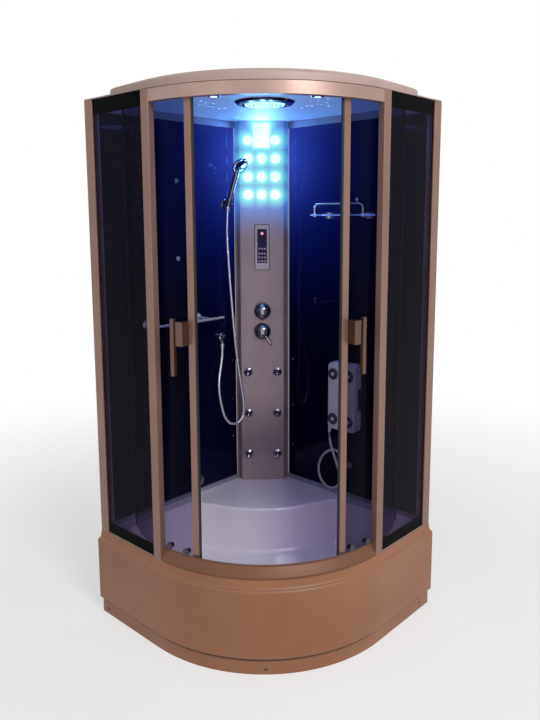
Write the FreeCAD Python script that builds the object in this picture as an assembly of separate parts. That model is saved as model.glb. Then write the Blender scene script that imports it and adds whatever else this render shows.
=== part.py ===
"""Quadrant steam shower cabin, in millimetres.

The cabin stands in a room corner. The footprint is a square centred on the origin with one corner
rounded off by the curved front. Wall planes are x = -HALF (left wall) and y = +HALF (right wall), the
floor is z = 0 and the curved front faces +x, -y. Left and right pieces mirror each other across the
vertical plane through the back corner and the middle of the front.
"""
import FreeCAD, Part
import math
import os

V = FreeCAD.Vector
UP = V(0, 0, 1)

# ---- overall sizes ----
SIDE = 1000.0              # length of the cabin along each wall
PANEL_RUN = 380.0          # straight front run from each wall to the start of the arc
FRAME_TOP = 2100.0         # top of the posts and of the header rail
ROOF_RISE = 50.0           # crown of the roof above the frame
RIM_TOP = 365.0            # top of the tray rim, where the frame and the wall panels stand
RAIL_HEIGHT = 45.0         # height of the header rail and of the threshold rail
CLEAR = 0.3                # gap between fitted pieces
TOUCH = 0.02               # gap between pieces that are screwed face to face

HALF = SIDE / 2
ARC_R = SIDE - PANEL_RUN
ARC_X = PANEL_RUN - HALF
ARC_Y = HALF - PANEL_RUN
MIRROR = V(1, 1, 0)

# ---- tray ----
PLINTH_INSET = 14.0
PLINTH_TOP = 66.0
SKIRT_TOP = 330.0
RIM_INSET = 20.0           # the rim edge stands back from the skirt face
APRON_WALL = 4.0
TUB_WALL = 5.0
RIM_THICK = 7.0
DECK = 75.0                # width of the flat deck between basin and walls
FRONT_DECK = 76.0          # width of the deck between basin and skirt face
BASIN_FLOOR = 168.0
BASIN_DRAFT = 22.0         # how far the basin walls lean in from rim to floor
BASIN_CORNER = 60.0
SEAT_REACH = 542.0         # room corner to the tip of the seat front, before it is rounded
SEAT_HALF = 143.0          # half width of the seat front
SEAT_ENDS = 508.0          # room corner to the ends of the seat front, along the diagonal
SEAT_FLARE = 460.0         # wall distance where the seat side meets the deck edge
DRAIN_R = 45.0
DRAIN_ALONG = 820.0        # room corner to drain, along the diagonal
DRAIN_ACROSS = 90.0        # drain beside the middle beam of the frame
TRAP_R = 56.0
WASTE_R = 20.0             # spigot for a 40 mm waste pipe
WASTE_LOW = 45.0           # its lower end above the floor
TUBE = 30.0                # square tube of the tray frame
FRAME_Z = 100.0            # underside of the tray frame
FOOT_R = 25.0
FOOT_HIGH = 12.0
FOOT_ROD_R = 6.0
FOOT_INSET = 62.0

# ---- frame ----
FRAME_INSET = 22.0         # outer face of rails behind the skirt face
FRAME_DEPTH = 26.0
PROFILE_WIDE = 50.0
POST_WIDE = 42.0
POST_BACK = 26.0           # part of the post that lies beyond the start of the arc, on the panel side
SECTION_WALL = 2.0
GLASS = 5.0
GLASS_INSET = 26.0         # outer face of the fixed side glass
GLASS_GRIP = 10.0          # how deep the glass sits in its profiles
TRACK_INSET = 42.0         # middle of the track lips, where the rollers run
TRACK_LIP = 2.0
RAIL_INNER = 47.0
HEADER_LIP_Z = FRAME_TOP - 34.0
SILL_LIP_Z = RIM_TOP + 49.0

# ---- wall panels ----
PANEL_OFF = 8.0            # back of the wall glass from the wall plane
PANEL_BACK_EDGE = 196.0    # end of the wall glass near the room corner
TRIM_OUT = 20.0
TRIM_LOW = 20.0
TRIM_HIGH = 30.0
TRIM_SIDE = 27.0
TRIM_TOP_Z = FRAME_TOP - 5.0

# ---- doors, drawn open as in the photograph ----
OPEN_ANGLE = 26.5          # leading edge of each door from the middle of the front
SEAL_ANGLE = 0.62
STILE_ANGLE = 2.7
DOOR_ANGLE = 46.6          # leading edge to trailing edge
DOOR_INSET = 52.0          # outer face of the door glass
DOOR_LOW = RIM_TOP + 19.0
DOOR_HIGH = FRAME_TOP - 8.0
STILE_OUT = 48.6
STILE_IN = 60.6
ROLLER_LEAD = 6.0          # first roller behind the leading edge
ROLLER_TRAIL = 14.4
ROLLER_R = 13.0
ROLLER_GROOVE_R = 10.0
ROLLER_WIDE = 8.0
AXLE_R = 3.0
RUNNING = 0.08             # radial running clearance
HANDLE_Z = 1203.0
HANDLE_LONG = 206.0
HANDLE_BLOCK_HIGH = 86.0
HANDLE_BLOCK_Z = 1252.0

# ---- roof ----
ROOF_WALL = 4.0
ROOF_EDGE = 26.0           # height of the upright roof edge before it turns over
ROOF_SHOULDER = 12.0       # width and height of the sloping edge round the crown
ROOF_INSET = 26.0
ROOF_END = 60.0            # roof dome stands back from the wall planes
ROOF_CORNER = 150.0
CROWN_R = 7000.0
CEILING_THICK = 4.0
HEAD_ALONG = 705.0         # room corner to the middle of the rain head
HEAD_R = 78.0
HEAD_RING_R = 118.0
SPOT_ALONG = 845.0
SPOT_ACROSS = 190.0
SPOT_R = 21.0
FAN_ALONG = 620.0
FAN_ACROSS = -235.0
FAN_R = 44.0
FAN_BODY = 96.0
FAN_HIGH = 22.0
FAN_BLADES = 7

# ---- column ----
COL_HALF = 125.0           # half width of the column front
COL_FACE = 181.0           # room corner to the column front, along the diagonal
COL_FLAT = 100.0           # half width of the flat of the front
COL_SHOULDER = 170.0
COL_WALL = 3.0
COL_FLANGE = 22.0
COLUMN_SIDE = (COL_HALF + COL_SHOULDER) / math.sqrt(2)    # room corner to the column sides, along a wall
LENS_R = 22.0
LENS_PITCH = 65.5
LENS_ROWS = 4
LENS_TOP_Z = FRAME_TOP - 92.0
LENS_STEP = 82.6
WINDOW_HALF = 33.0
WINDOW_LOW = FRAME_TOP - 124.0
WINDOW_HIGH = FRAME_TOP - 16.0
DISPLAY_HALF = 34.0
DISPLAY_LOW = 1409.0
DISPLAY_HIGH = 1622.0
SCREEN_HALF = 23.0
SCREEN_LOW = 1441.0
SCREEN_HIGH = 1601.0
DIVERTER_Z = 1212.0
MIXER_Z = 1114.0
FLANGE_R = 36.0
SPINDLE_R = 8.0
KNOB_R = 22.0
KNOB_LONG = 26.0
LEVER_LONG = 78.0
JET_ACROSS = 70.0
JET_ROWS = (912.0, 706.0, 499.0)
JET_R = 21.5
JET_BALL_R = 11.0
JET_TAIL_R = 14.0

# ---- fittings on the walls; OUT is measured from the wall plane ----
STEAM_WIDE = 120.0
STEAM_DEEP = 60.0
STEAM_HIGH = 230.0
STEAM_Y = 45.0             # steam outlet on the left wall
STEAM_Z = 430.0
TAIL_R = 9.0               # threaded tail of each outlet, through the wall glass
SHOWER_Y = 242.0           # pivot of the hand shower holder on the left wall
SHOWER_Z = 1714.0
SHOWER_OUT = 36.0
SHOWER_TILT = 22.0         # lean of the hand shower into the cabin
SHOWER_LONG = 190.0
SHOWER_HEAD_R = 41.0
SHOWER_NUT_R = 9.0
GRIP_R = 11.0
HOLDER_WALL = 3.5
PIVOT_R = 3.0
HOSE_R = 6.0
OUTLET_Y = 201.0           # hose outlet valve on the left wall
OUTLET_Z = 1096.0
OUTLET_R = 22.0
OUTLET_OUT = 35.0
OUTLET_DROP = 32.0
LEVER_REACH = 48.0
LEVER_RISE = 20.0          # degrees above level at rest
TOWEL_Z = 1204.0
TOWEL_OUT = 105.0
TOWEL_R = 6.0
TOWEL_ENDS = (-240.0, 138.0)
TOWEL_POSTS = (-228.0, 60.0)
SHELF_Z = 1662.0
SHELF_X = (-98.0, 190.0)
SHELF_OUT = 125.0
SHELF_GLASS = 6.0
SHELF_CORNER = 30.0
SHELF_CLAMPS = (-50.0, 165.0)
RAIL_OUT = 100.0
RAIL_X = (-76.0, 184.0)
RAIL_TOP_Z = 1713.0
RAIL_R = 4.0
RAIL_BEND = 21.0
RAIL_KNOB_X = 154.0
MASSAGER_X = (-24.0, 130.0)
MASSAGER_Z = (690.0, 1004.0)
MASSAGER_OUT = (16.0, 68.0)
MASSAGER_CORNER = 22.0
MASSAGER_JET_X = (12.0, 98.0)
MASSAGER_JET_Z = (742.0, 952.0)
MASSAGER_JET_R = 20.0
BRACKET_Z = (792.0, 892.0)
BRACKET_X = (-46.0, 133.0)
BRACKET_OUT = 36.0
MASSAGER_NUT_X = -15.0
MASSAGER_NUT_OUT = 56.0
MASSAGER_NUT_R = 7.0
MASSAGER_HOSE_R = 5.5
TAP_X = 66.0               # massager outlet on the right wall
TAP_Z = 520.0
TAP_OUT = 26.0
TAP_R = 18.0
TAP_NUT = 24.0
TAP_TURN = 130.0           # direction of the outlet nut, degrees up from +x

WALL_FACE = PANEL_OFF + GLASS
CEILING_Z = FRAME_TOP - TOUCH - CEILING_THICK
COL_TOP = CEILING_Z - CLEAR
SEAT = TOUCH + WALL_FACE   # back of a fitting that is screwed to the wall glass

os.makedirs("parts", exist_ok=True)


def keep(name, shape):
    """Write one node: its one solid, or all of its separate solids."""
    solids = shape.Solids
    shape = solids[0] if len(solids) == 1 else Part.makeCompound(solids)
    shape.exportStep("parts/" + name + ".step")


def mirrored(shape):
    """The same piece on the other side of the cabin: (x, y) becomes (-y, -x)."""
    return shape.mirror(V(0, 0, 0), MIRROR)


def both(shape):
    return Part.makeCompound([shape, mirrored(shape)])


# ---- outlines ----

def inset(corners, amount):
    """Move every edge of a closed outline (x, y, radius) inwards; the corners run anticlockwise."""
    count = len(corners)
    moved = []
    for i in range(count):
        before = V(*corners[i - 1][:2], 0)
        here = V(*corners[i][:2], 0)
        after = V(*corners[(i + 1) % count][:2], 0)
        first = (here - before).normalize()
        second = (after - here).normalize()
        turn = first.cross(second).z
        normals = V(-first.y, first.x, 0) + V(-second.y, second.x, 0)
        spot = here + normals * (amount / (1 + first.dot(second)))
        radius = corners[i][2]
        if radius > 0:
            radius = radius - amount if turn > 0 else radius + amount
        moved.append((spot.x, spot.y, max(radius, 0.0)))
    return moved


def loop(corners, place=lambda a, b: V(a, b, 0)):
    """Closed wire through corners (a, b, radius).

    A radius rounds its corner with a tangent arc, and a negative one cuts it off that far along both edges.
    """
    ends = []
    count = len(corners)
    for i, (a, b, radius) in enumerate(corners):
        here = V(a, b, 0)
        if radius == 0:
            ends.append((here, here, here))
            continue
        back = V(*corners[i - 1][:2], 0) - here
        ahead = V(*corners[(i + 1) % count][:2], 0) - here
        half = back.getAngle(ahead) / 2
        back.normalize()
        ahead.normalize()
        if radius < 0:
            ends.append((here - back * radius, None, here - ahead * radius))
            continue
        reach = radius / math.tan(half)
        inward = (back + ahead).normalize()
        middle = here + inward * (radius / math.sin(half) - radius)
        ends.append((here + back * reach, middle, here + ahead * reach))
    edges = []
    for i, (start, middle, end) in enumerate(ends):
        if middle is None:
            edges.append(Part.LineSegment(place(*start[:2]), place(*end[:2])).toShape())
        elif (end - start).Length > 1e-6:
            edges.append(Part.Arc(place(*start[:2]), place(*middle[:2]), place(*end[:2])).toShape())
        following = ends[(i + 1) % count][0]
        if (following - end).Length > 1e-6:
            edges.append(Part.LineSegment(place(*end[:2]), place(*following[:2])).toShape())
    return Part.Wire(edges)


def prism(corners, low, high):
    """Upright solid with a plan outline (x, y, radius)."""
    return Part.Face(loop(corners, lambda a, b: V(a, b, low))).extrude(V(0, 0, high - low))


def drafted(corners, low, high, draft):
    """Upright solid whose walls lean in by draft from high to low."""
    top = loop(corners, lambda a, b: V(a, b, high))
    foot = loop(inset(corners, draft), lambda a, b: V(a, b, low))
    return Part.makeLoft([foot, top], True, True)


def box(x0, x1, y0, y1, z0, z1):
    return Part.makeBox(x1 - x0, y1 - y0, z1 - z0, V(x0, y0, z0))


def rod(start, end, radius):
    along = end - start
    return Part.makeCylinder(radius, along.Length, start, along)


def aimed(shape, spot, axis):
    """Turn a shape drawn about Z onto an axis and move it to a spot."""
    shape.Placement = FreeCAD.Placement(spot, FreeCAD.Rotation(UP, axis))
    return shape


def turned(corners, spot, axis):
    """Revolve an outline (radius from the axis, height along it, corner radius)."""
    face = Part.Face(loop(corners, lambda a, b: V(a, 0, b)))
    return aimed(face.revolve(V(0, 0, 0), UP, 360), spot, axis)


def route(points, bend=None):
    """Straight runs joined by tangent arcs, each as large as its two runs allow unless a bend is given."""
    edges = []
    end = points[0]
    for before, here, after in zip(points, points[1:], points[2:]):
        back = before - here
        ahead = after - here
        half = back.getAngle(ahead) / 2
        radius = bend or 0.45 * min(back.Length, ahead.Length) * math.tan(half)
        reach = radius / math.tan(half)
        back.normalize()
        ahead.normalize()
        inward = (back + ahead).normalize()
        start = here + back * reach
        middle = here + inward * (radius / math.sin(half) - radius)
        edges.append(Part.LineSegment(end, start).toShape())
        end = here + ahead * reach
        edges.append(Part.Arc(start, middle, end).toShape())
        if bend is None:
            print("bend radius %.0f" % radius)
    edges.append(Part.LineSegment(end, points[-1]).toShape())
    return Part.Wire(edges)


def tube(points, radius, bend=None):
    """Round bar or hose along a route."""
    path = route(points, bend)
    start = Part.Wire(Part.Circle(points[0], points[1] - points[0], radius).toShape())
    solid = path.makePipeShell([start], True, False)
    print("length %.0f, volume ratio %.4f" % (path.Length,
                                              solid.Volume / (math.pi * radius ** 2 * path.Length)))
    return solid


def quadrant(front, walls, corner=0.0):
    """Plan outline of the cabin, set back from the skirt face and from the wall planes."""
    left = -HALF + walls
    right = HALF - walls
    near = -HALF + front
    far = HALF - front
    return [(left, near, corner), (far, near, ARC_R - front), (far, right, corner), (left, right, 0.0)]


# ---- places on the curved front ----

def front_spot(setback, angle, z):
    """Point behind the skirt face at an angle from the middle of the front, positive to the right."""
    turn = math.radians(angle - 45)
    reach = ARC_R - setback
    return V(ARC_X + reach * math.cos(turn), ARC_Y + reach * math.sin(turn), z)


def front_axis(angle):
    """Unit vector pointing out of the cabin at an angle from the middle of the front."""
    turn = math.radians(angle - 45)
    return V(math.cos(turn), math.sin(turn), 0)


def front_arc(corners, start, end):
    """Sweep a section (setback, z, radius) round the arc between two angles."""
    turn = math.radians(start - 45)
    direction = V(math.cos(turn), math.sin(turn), 0)

    def place(a, b):
        return V(ARC_X, ARC_Y, b) + direction * (ARC_R - a)

    face = Part.Face(loop(corners, place))
    return face.revolve(V(ARC_X, ARC_Y, 0), UP, end - start)


def front_run(corners, end_gap=0.0):
    """Sweep a section along the whole front: straight, arc and straight."""
    arc = front_arc(corners, -45, 45)
    face = Part.Face(loop(corners, lambda a, b: V(ARC_X, -HALF + a, b)))
    straight = face.extrude(V(-PANEL_RUN + end_gap, 0, 0))
    return arc.fuse([straight, mirrored(straight)]).removeSplitter()


# ---- places on the walls ----

LEFT_IN = V(1, 0, 0)
RIGHT_IN = V(0, -1, 0)


def left_spot(out, y, z):
    return V(-HALF + out, y, z)


def right_spot(out, x, z):
    return V(x, HALF - out, z)


# ---- places on the column, which faces the room along the diagonal ----

COLUMN_IN = V(1, -1, 0).normalize()
ACROSS = V(1, 1, 0).normalize()
CORNER = V(-HALF, HALF, 0)


def diagonal_spot(across, along, z):
    """Point at a distance along the diagonal from the room corner, positive across to the right."""
    return CORNER + ACROSS * across + COLUMN_IN * along + V(0, 0, z)


def column_prism(corners, low, high):
    """Upright solid with an outline (across, along the diagonal, radius)."""
    wire = loop(corners, lambda a, b: diagonal_spot(a, b, low))
    return Part.Face(wire).extrude(V(0, 0, high - low))


def column_plate(corners, near, far):
    """Plate parallel to the column front with an outline (across, z, radius)."""
    wire = loop(corners, lambda a, b: diagonal_spot(a, near, b))
    return Part.Face(wire).extrude(COLUMN_IN * (far - near))


def rectangle(a0, a1, b0, b1, radius=0.0):
    return [(a0, b0, radius), (a1, b0, radius), (a1, b1, radius), (a0, b1, radius)]


# ---- tray ----

def basin_outline(grow=0.0):
    """Edge of the basin at rim height: the quadrant with the seat taken out of its room corner."""
    left = -HALF + DECK
    near = -HALF + FRONT_DECK
    across = SEAT_HALF
    flare = -HALF + SEAT_FLARE

    def seat(side, along, radius):
        spot = diagonal_spot(side, along, 0)
        return (spot.x, spot.y, radius)

    corners = [
        (left, near, BASIN_CORNER),
        (-near, near, ARC_R - FRONT_DECK),
        (-near, -left, BASIN_CORNER),
        (-flare, -left, 30.0),
        seat(across, SEAT_ENDS, 34.0),
        seat(0, SEAT_REACH, 600.0),
        seat(-across, SEAT_ENDS, 34.0),
        (left, flare, 30.0),
    ]
    return inset(corners, -grow)


def tray_tub():
    rim = prism(quadrant(RIM_INSET + APRON_WALL + CLEAR, 1.0), RIM_TOP - RIM_THICK, RIM_TOP)
    bowl = drafted(basin_outline(TUB_WALL), BASIN_FLOOR - TUB_WALL, RIM_TOP - RIM_THICK / 2, BASIN_DRAFT)
    hollow = drafted(basin_outline(), BASIN_FLOOR, RIM_TOP, BASIN_DRAFT)
    floor_edges = [e for e in hollow.Edges if e.BoundBox.ZMax < BASIN_FLOOR + 1]
    hollow = hollow.makeFillet(18.0, floor_edges)
    foot_edges = [e for e in bowl.Edges if e.BoundBox.ZMax < BASIN_FLOOR - TUB_WALL + 1]
    bowl = bowl.makeFillet(18.0, foot_edges)
    drain = diagonal_spot(DRAIN_ACROSS, DRAIN_ALONG, BASIN_FLOOR)
    hole = rod(drain - UP * 20, drain + UP * 20, DRAIN_R)
    keep("tray_tub", rim.fuse(bowl).cut(hollow).cut(hole))


def tray_apron():
    """One moulding: plinth, shadow groove, skirt face, stepped shoulder and rim edge."""
    wall = APRON_WALL
    outer = [
        (PLINTH_INSET, 0.0, 0.0),
        (PLINTH_INSET, PLINTH_TOP - 5, 2.0),
        (PLINTH_INSET + 5, PLINTH_TOP, 0.0),
        (2.0, PLINTH_TOP + 2, 0.0),
        (0.0, PLINTH_TOP + 5, 2.0),
        (0.0, SKIRT_TOP, 9.0),
        (RIM_INSET - 6, SKIRT_TOP + 5, 10.0),
        (RIM_INSET - 1, RIM_TOP - 8, 3.0),
        (RIM_INSET, RIM_TOP, 0.0),
    ]
    inner = [
        (RIM_INSET + wall, RIM_TOP, 0.0),
        (RIM_INSET + wall - 1, RIM_TOP - 8, 0.0),
        (RIM_INSET + wall - 6, SKIRT_TOP, 8.0),
        (wall, SKIRT_TOP - wall, 5.0),
        (wall, PLINTH_TOP + 7, 0.0),
        (PLINTH_INSET + 5 + wall, PLINTH_TOP + 7, 0.0),
        (PLINTH_INSET + 5 + wall, PLINTH_TOP - 5, 0.0),
        (PLINTH_INSET + wall, PLINTH_TOP - 8, 0.0),
        (PLINTH_INSET + wall, 0.0, 0.0),
    ]
    keep("tray_apron", front_run(outer + inner, 1.0))


def foot_places():
    """Levelling feet: two below the side panels, one in the room corner, one in front, one in the middle."""
    edge = HALF - FOOT_INSET
    near = ARC_R - FOOT_INSET - 60
    front = V(ARC_X, ARC_Y, 0) + COLUMN_IN * near
    return [V(-edge, -edge, 0), V(edge, edge, 0), V(-edge, edge, 0), front, V(0, 0, 0)]


def tray_frame():
    """Welded tube frame under the basin, its uprights to the rim and its levelling feet."""
    half = TUBE / 2
    top = FRAME_Z + TUBE
    places = foot_places()
    left_front, right_front, back, front, middle = places
    beams = []
    for start, end in ((left_front, back), (back, right_front), (back, front), (left_front, right_front)):
        along = end - start
        length = along.Length
        beam = Part.makeBox(length, TUBE, TUBE, V(0, -half, 0))
        angle = math.degrees(math.atan2(along.y, along.x))
        beam.Placement = FreeCAD.Placement(V(start.x, start.y, FRAME_Z), FreeCAD.Rotation(UP, angle))
        beams.append(beam)
    for spot in (left_front, right_front, back):
        reach = RIM_TOP - RIM_THICK - TOUCH
        beams.append(box(spot.x - half, spot.x + half, spot.y - half, spot.y + half, FRAME_Z, reach))
    pad_top = BASIN_FLOOR - TUB_WALL - TOUCH
    for spot in (front - COLUMN_IN * 60, middle):
        beams.append(box(spot.x - 40, spot.x + 40, spot.y - 40, spot.y + 40, top - 1, pad_top))
    frame = beams[0].fuse(beams[1:]).removeSplitter()
    pieces = [frame]
    for spot in places:
        pad = turned([(0, 0, 0), (FOOT_R, 0, -1), (FOOT_R, 5, 0), (9, FOOT_HIGH, 0), (0, FOOT_HIGH, 0)],
                     spot, UP)
        stem = rod(spot + UP * (FOOT_HIGH - 1), spot + UP * (FRAME_Z - TOUCH), FOOT_ROD_R)
        nut = Part.makeCylinder(11.0, 9.0, spot + UP * (FRAME_Z - TOUCH - 9))
        pieces.append(pad.fuse([stem, nut]).removeSplitter())
    keep("tray_frame", Part.makeCompound(pieces))


def drain_waste():
    """Strainer dome over the drain hole, and the trap below it with its standpipe and spigot."""
    spot = diagonal_spot(DRAIN_ACROSS, DRAIN_ALONG, BASIN_FLOOR)
    dome = turned([(0, CLEAR, 0), (56, CLEAR, 0), (56, 2.5, 0), (30, 7, 0), (0, 8, 0)], spot, UP)
    tail = Part.makeCylinder(DRAIN_R - 1.0, 20.0, spot - UP * 19.5)
    slots = []
    for turn in range(0, 360, 30):
        slot = box(16, 46, -2, 2, -30, 20)
        slot.Placement = FreeCAD.Placement(spot, FreeCAD.Rotation(UP, turn))
        slots.append(slot)
    strainer = dome.fuse(tail).cut(Part.makeCompound(slots))
    low = FRAME_Z + 2
    cup_high = BASIN_FLOOR - TUB_WALL - low
    cup = Part.makeCylinder(TRAP_R, cup_high - CLEAR, V(spot.x, spot.y, low))
    pit = Part.makeCylinder(TRAP_R - 4, cup_high, V(spot.x, spot.y, low + 4))
    neck = Part.makeCylinder(DRAIN_R - 0.7, 8.0, spot - UP * (TUB_WALL + 8.0 + CLEAR))
    foot = V(spot.x, spot.y, WASTE_LOW)
    step = V(spot.x, spot.y, low - 4)
    spigot = rod(foot, step, WASTE_R)
    stand = rod(step, step + UP * 34, WASTE_R - 0.6)
    bore = rod(foot - UP, step + UP * 35, WASTE_R - 3)
    trap = cup.cut(pit).fuse([spigot, stand]).cut(bore).cut(neck)
    keep("drain_waste", Part.makeCompound([strainer, trap]))


# ---- frame ----

def uprights():
    """Wall profiles and door posts: hollow extrusions slotted for the fixed side glass."""
    near = -HALF + FRAME_INSET - 2
    deep = near + FRAME_DEPTH
    wall = SECTION_WALL
    low = RIM_TOP + TOUCH
    slot_near = -HALF + GLASS_INSET - CLEAR / 2
    slot_far = slot_near + GLASS + CLEAR

    def section(x0, x1, slot_x0, slot_x1, hollow_x0, hollow_x1):
        outer = prism(rectangle(x0, x1, near, deep, 2.0), low, FRAME_TOP - TOUCH)
        slot = box(slot_x0, slot_x1, slot_near, slot_far, low - 1, FRAME_TOP + 1)
        hollow = box(hollow_x0, hollow_x1, near + wall, deep - wall, low - 1, FRAME_TOP + 1)
        return outer.cut(slot).cut(hollow)

    edge = -HALF + TOUCH
    inner = -HALF + PROFILE_WIDE
    keep("wall_profiles", both(section(edge, inner, inner - GLASS_GRIP, inner + 5,
                                       edge + wall, inner - GLASS_GRIP - wall)))
    outer = ARC_X - POST_BACK
    far = outer + POST_WIDE
    keep("door_posts", both(section(outer, far, outer - 5, outer + GLASS_GRIP,
                                    outer + GLASS_GRIP + wall, far - wall)))


def side_glass():
    near = -HALF + GLASS_INSET
    left = -HALF + PROFILE_WIDE - GLASS_GRIP + 1
    right = ARC_X - POST_BACK + GLASS_GRIP - 1
    keep("side_glass", both(box(left, right, near, near + GLASS, RIM_TOP + TOUCH, FRAME_TOP - TOUCH)))


def rail_ends():
    """Everything beyond the post faces, which the rails are cut back to."""
    edge = ARC_X - POST_BACK + POST_WIDE + TOUCH
    cut = box(-SIDE, edge, -SIDE, ARC_Y - 1, -10, FRAME_TOP + 100)
    return [cut, mirrored(cut)]


def header_rail():
    """Channel open towards the cabin, with the lip that the top rollers run on."""
    low = FRAME_TOP - RAIL_HEIGHT
    top = FRAME_TOP - TOUCH
    wall = SECTION_WALL
    lip = TRACK_INSET - TRACK_LIP / 2
    section = [
        (FRAME_INSET, low, 1.5), (RAIL_INNER, low, 0.5), (RAIL_INNER, low + wall, 0),
        (lip + TRACK_LIP, low + wall, 0), (lip + TRACK_LIP, HEADER_LIP_Z, 0), (lip, HEADER_LIP_Z, 0),
        (lip, low + wall, 0), (FRAME_INSET + wall, low + wall, 0), (FRAME_INSET + wall, top - wall, 0),
        (RAIL_INNER, top - wall, 0), (RAIL_INNER, top, 0), (FRAME_INSET, top, 1.5),
    ]
    keep("header_rail", front_arc(section, -45, 45).cut(Part.makeCompound(rail_ends())))


def threshold_rail():
    """Sill with a sloping outer face and the lip that the bottom rollers run on."""
    low = RIM_TOP + TOUCH
    crest = RIM_TOP + RAIL_HEIGHT - 6
    wall = SECTION_WALL
    lip = TRACK_INSET - TRACK_LIP / 2
    section = [
        (FRAME_INSET - 1, low, 0), (RAIL_INNER, low, 0), (RAIL_INNER, crest - 6, 1.0),
        (lip + TRACK_LIP, crest - 4, 0), (lip + TRACK_LIP, SILL_LIP_Z, 0), (lip, SILL_LIP_Z, 0),
        (lip, crest + 2, 3.0), (FRAME_INSET + 8, RIM_TOP + 24, 12.0), (FRAME_INSET - 1, RIM_TOP + 8, 3.0),
    ]
    hollow = [
        (FRAME_INSET + 5, low + wall, 0), (RAIL_INNER - wall, low + wall, 0),
        (RAIL_INNER - wall, crest - 12, 0), (lip - 2, crest - 10, 0), (FRAME_INSET + 8, low + 12, 0),
    ]
    body = front_arc(section, -45, 45).cut(front_arc(hollow, -46, 46))
    keep("threshold_rail", body.cut(Part.makeCompound(rail_ends())))


# ---- wall panels ----

def wall_panels():
    near = -HALF + FRAME_INSET + FRAME_DEPTH + 6
    glass = box(-HALF + PANEL_OFF, -HALF + PANEL_OFF + GLASS, near, HALF - PANEL_BACK_EDGE,
                RIM_TOP + 4, TRIM_TOP_Z - 6)
    tails = [rod(left_spot(0, y, z), left_spot(20, y, z), TAIL_R + CLEAR)
             for y, z in ((OUTLET_Y, OUTLET_Z), (STEAM_Y, STEAM_Z))]
    tap = rod(right_spot(0, TAP_X, TAP_Z), right_spot(20, TAP_X, TAP_Z), TAIL_R + CLEAR)
    keep("wall_panels", Part.makeCompound([glass.cut(Part.makeCompound(tails)), mirrored(glass).cut(tap)]))
    slot = box(-HALF + PANEL_OFF - CLEAR / 2, -HALF + PANEL_OFF + GLASS + CLEAR / 2, near - CLEAR,
               HALF - PANEL_BACK_EDGE + 30, RIM_TOP + 4 - TOUCH, TRIM_TOP_Z - 6 + CLEAR)
    start = -HALF + FRAME_INSET + FRAME_DEPTH - 2 + TOUCH
    foot = RIM_TOP + TOUCH
    finish = HALF - COLUMN_SIDE - COL_FLANGE - CLEAR
    wall_side = -HALF + TOUCH
    face = -HALF + TRIM_OUT
    upright = box(wall_side, face, start, start + TRIM_SIDE, foot, TRIM_TOP_Z)
    lower = box(wall_side, face, start, finish, foot, foot + TRIM_LOW)
    upper = box(wall_side, face, start, finish, TRIM_TOP_Z - TRIM_HIGH, TRIM_TOP_Z)
    frame = upright.fuse([lower, upper]).removeSplitter().cut(slot)
    keep("panel_trims", both(frame))


# ---- column ----

def column_outline():
    """Outer face of the column in plan, its sides square to the walls and ending on the wall glass."""
    wall_gap = (PANEL_OFF + GLASS + TOUCH) * math.sqrt(2)
    reach = (COL_SHOULDER - COL_HALF - wall_gap) / 2
    foot = COL_HALF + reach
    back = COL_SHOULDER - reach
    return [(-foot, back, 0), (foot, back, 0), (COL_HALF, COL_SHOULDER, 8.0), (COL_FLAT, COL_FACE, 20.0),
            (-COL_FLAT, COL_FACE, 20.0), (-COL_HALF, COL_SHOULDER, 8.0)]


def lens_places():
    """Middle of each lamp lens (across, z)."""
    return [(LENS_PITCH * column, LENS_TOP_Z - LENS_STEP * row)
            for row in range(LENS_ROWS) for column in (-1, 0, 1)
            if (row, column) != (0, 0)]


def jet_places():
    return [(side * JET_ACROSS, z) for z in JET_ROWS for side in (-1, 1)]


def column_bore(across, z, radius):
    """Round cutter through the column front."""
    spot = diagonal_spot(across, COL_FACE - 30, z)
    return rod(spot, spot + COLUMN_IN * 40, radius)


def control_column():
    low = RIM_TOP + TOUCH
    outer = column_outline()
    inner = inset(outer, COL_WALL)
    drop = 12.0
    inner[0] = (inner[0][0] - drop, inner[0][1] - drop, 0)
    inner[1] = (inner[1][0] + drop, inner[1][1] - drop, 0)
    shell = column_prism(outer, low, COL_TOP).cut(column_prism(inner, low - 1, COL_TOP + 1))
    side = -HALF + COLUMN_SIDE
    face = HALF - PANEL_OFF - GLASS - TOUCH
    flange = box(side - COL_WALL, side + COL_FLANGE, face - COL_WALL, face, low, COL_TOP)
    shell = shell.fuse([flange, mirrored(flange)]).removeSplitter()
    cuts = [column_bore(across, z, LENS_R + CLEAR) for across, z in lens_places()]
    cuts += [column_bore(across, z, JET_TAIL_R + CLEAR) for across, z in jet_places()]
    cuts += [column_bore(0, z, SPINDLE_R + 6) for z in (DIVERTER_Z, MIXER_Z)]
    depth = (COL_FACE - 10, COL_FACE + 10)
    window = rectangle(-WINDOW_HALF - CLEAR, WINDOW_HALF + CLEAR, WINDOW_LOW - CLEAR, WINDOW_HIGH + CLEAR)
    display = rectangle(-SCREEN_HALF - 4, SCREEN_HALF + 4, SCREEN_LOW - 6, SCREEN_HIGH + 6)
    cuts += [column_plate(window, *depth), column_plate(display, *depth)]
    keep("control_column", shell.cut(Part.makeCompound(cuts)))


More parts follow.
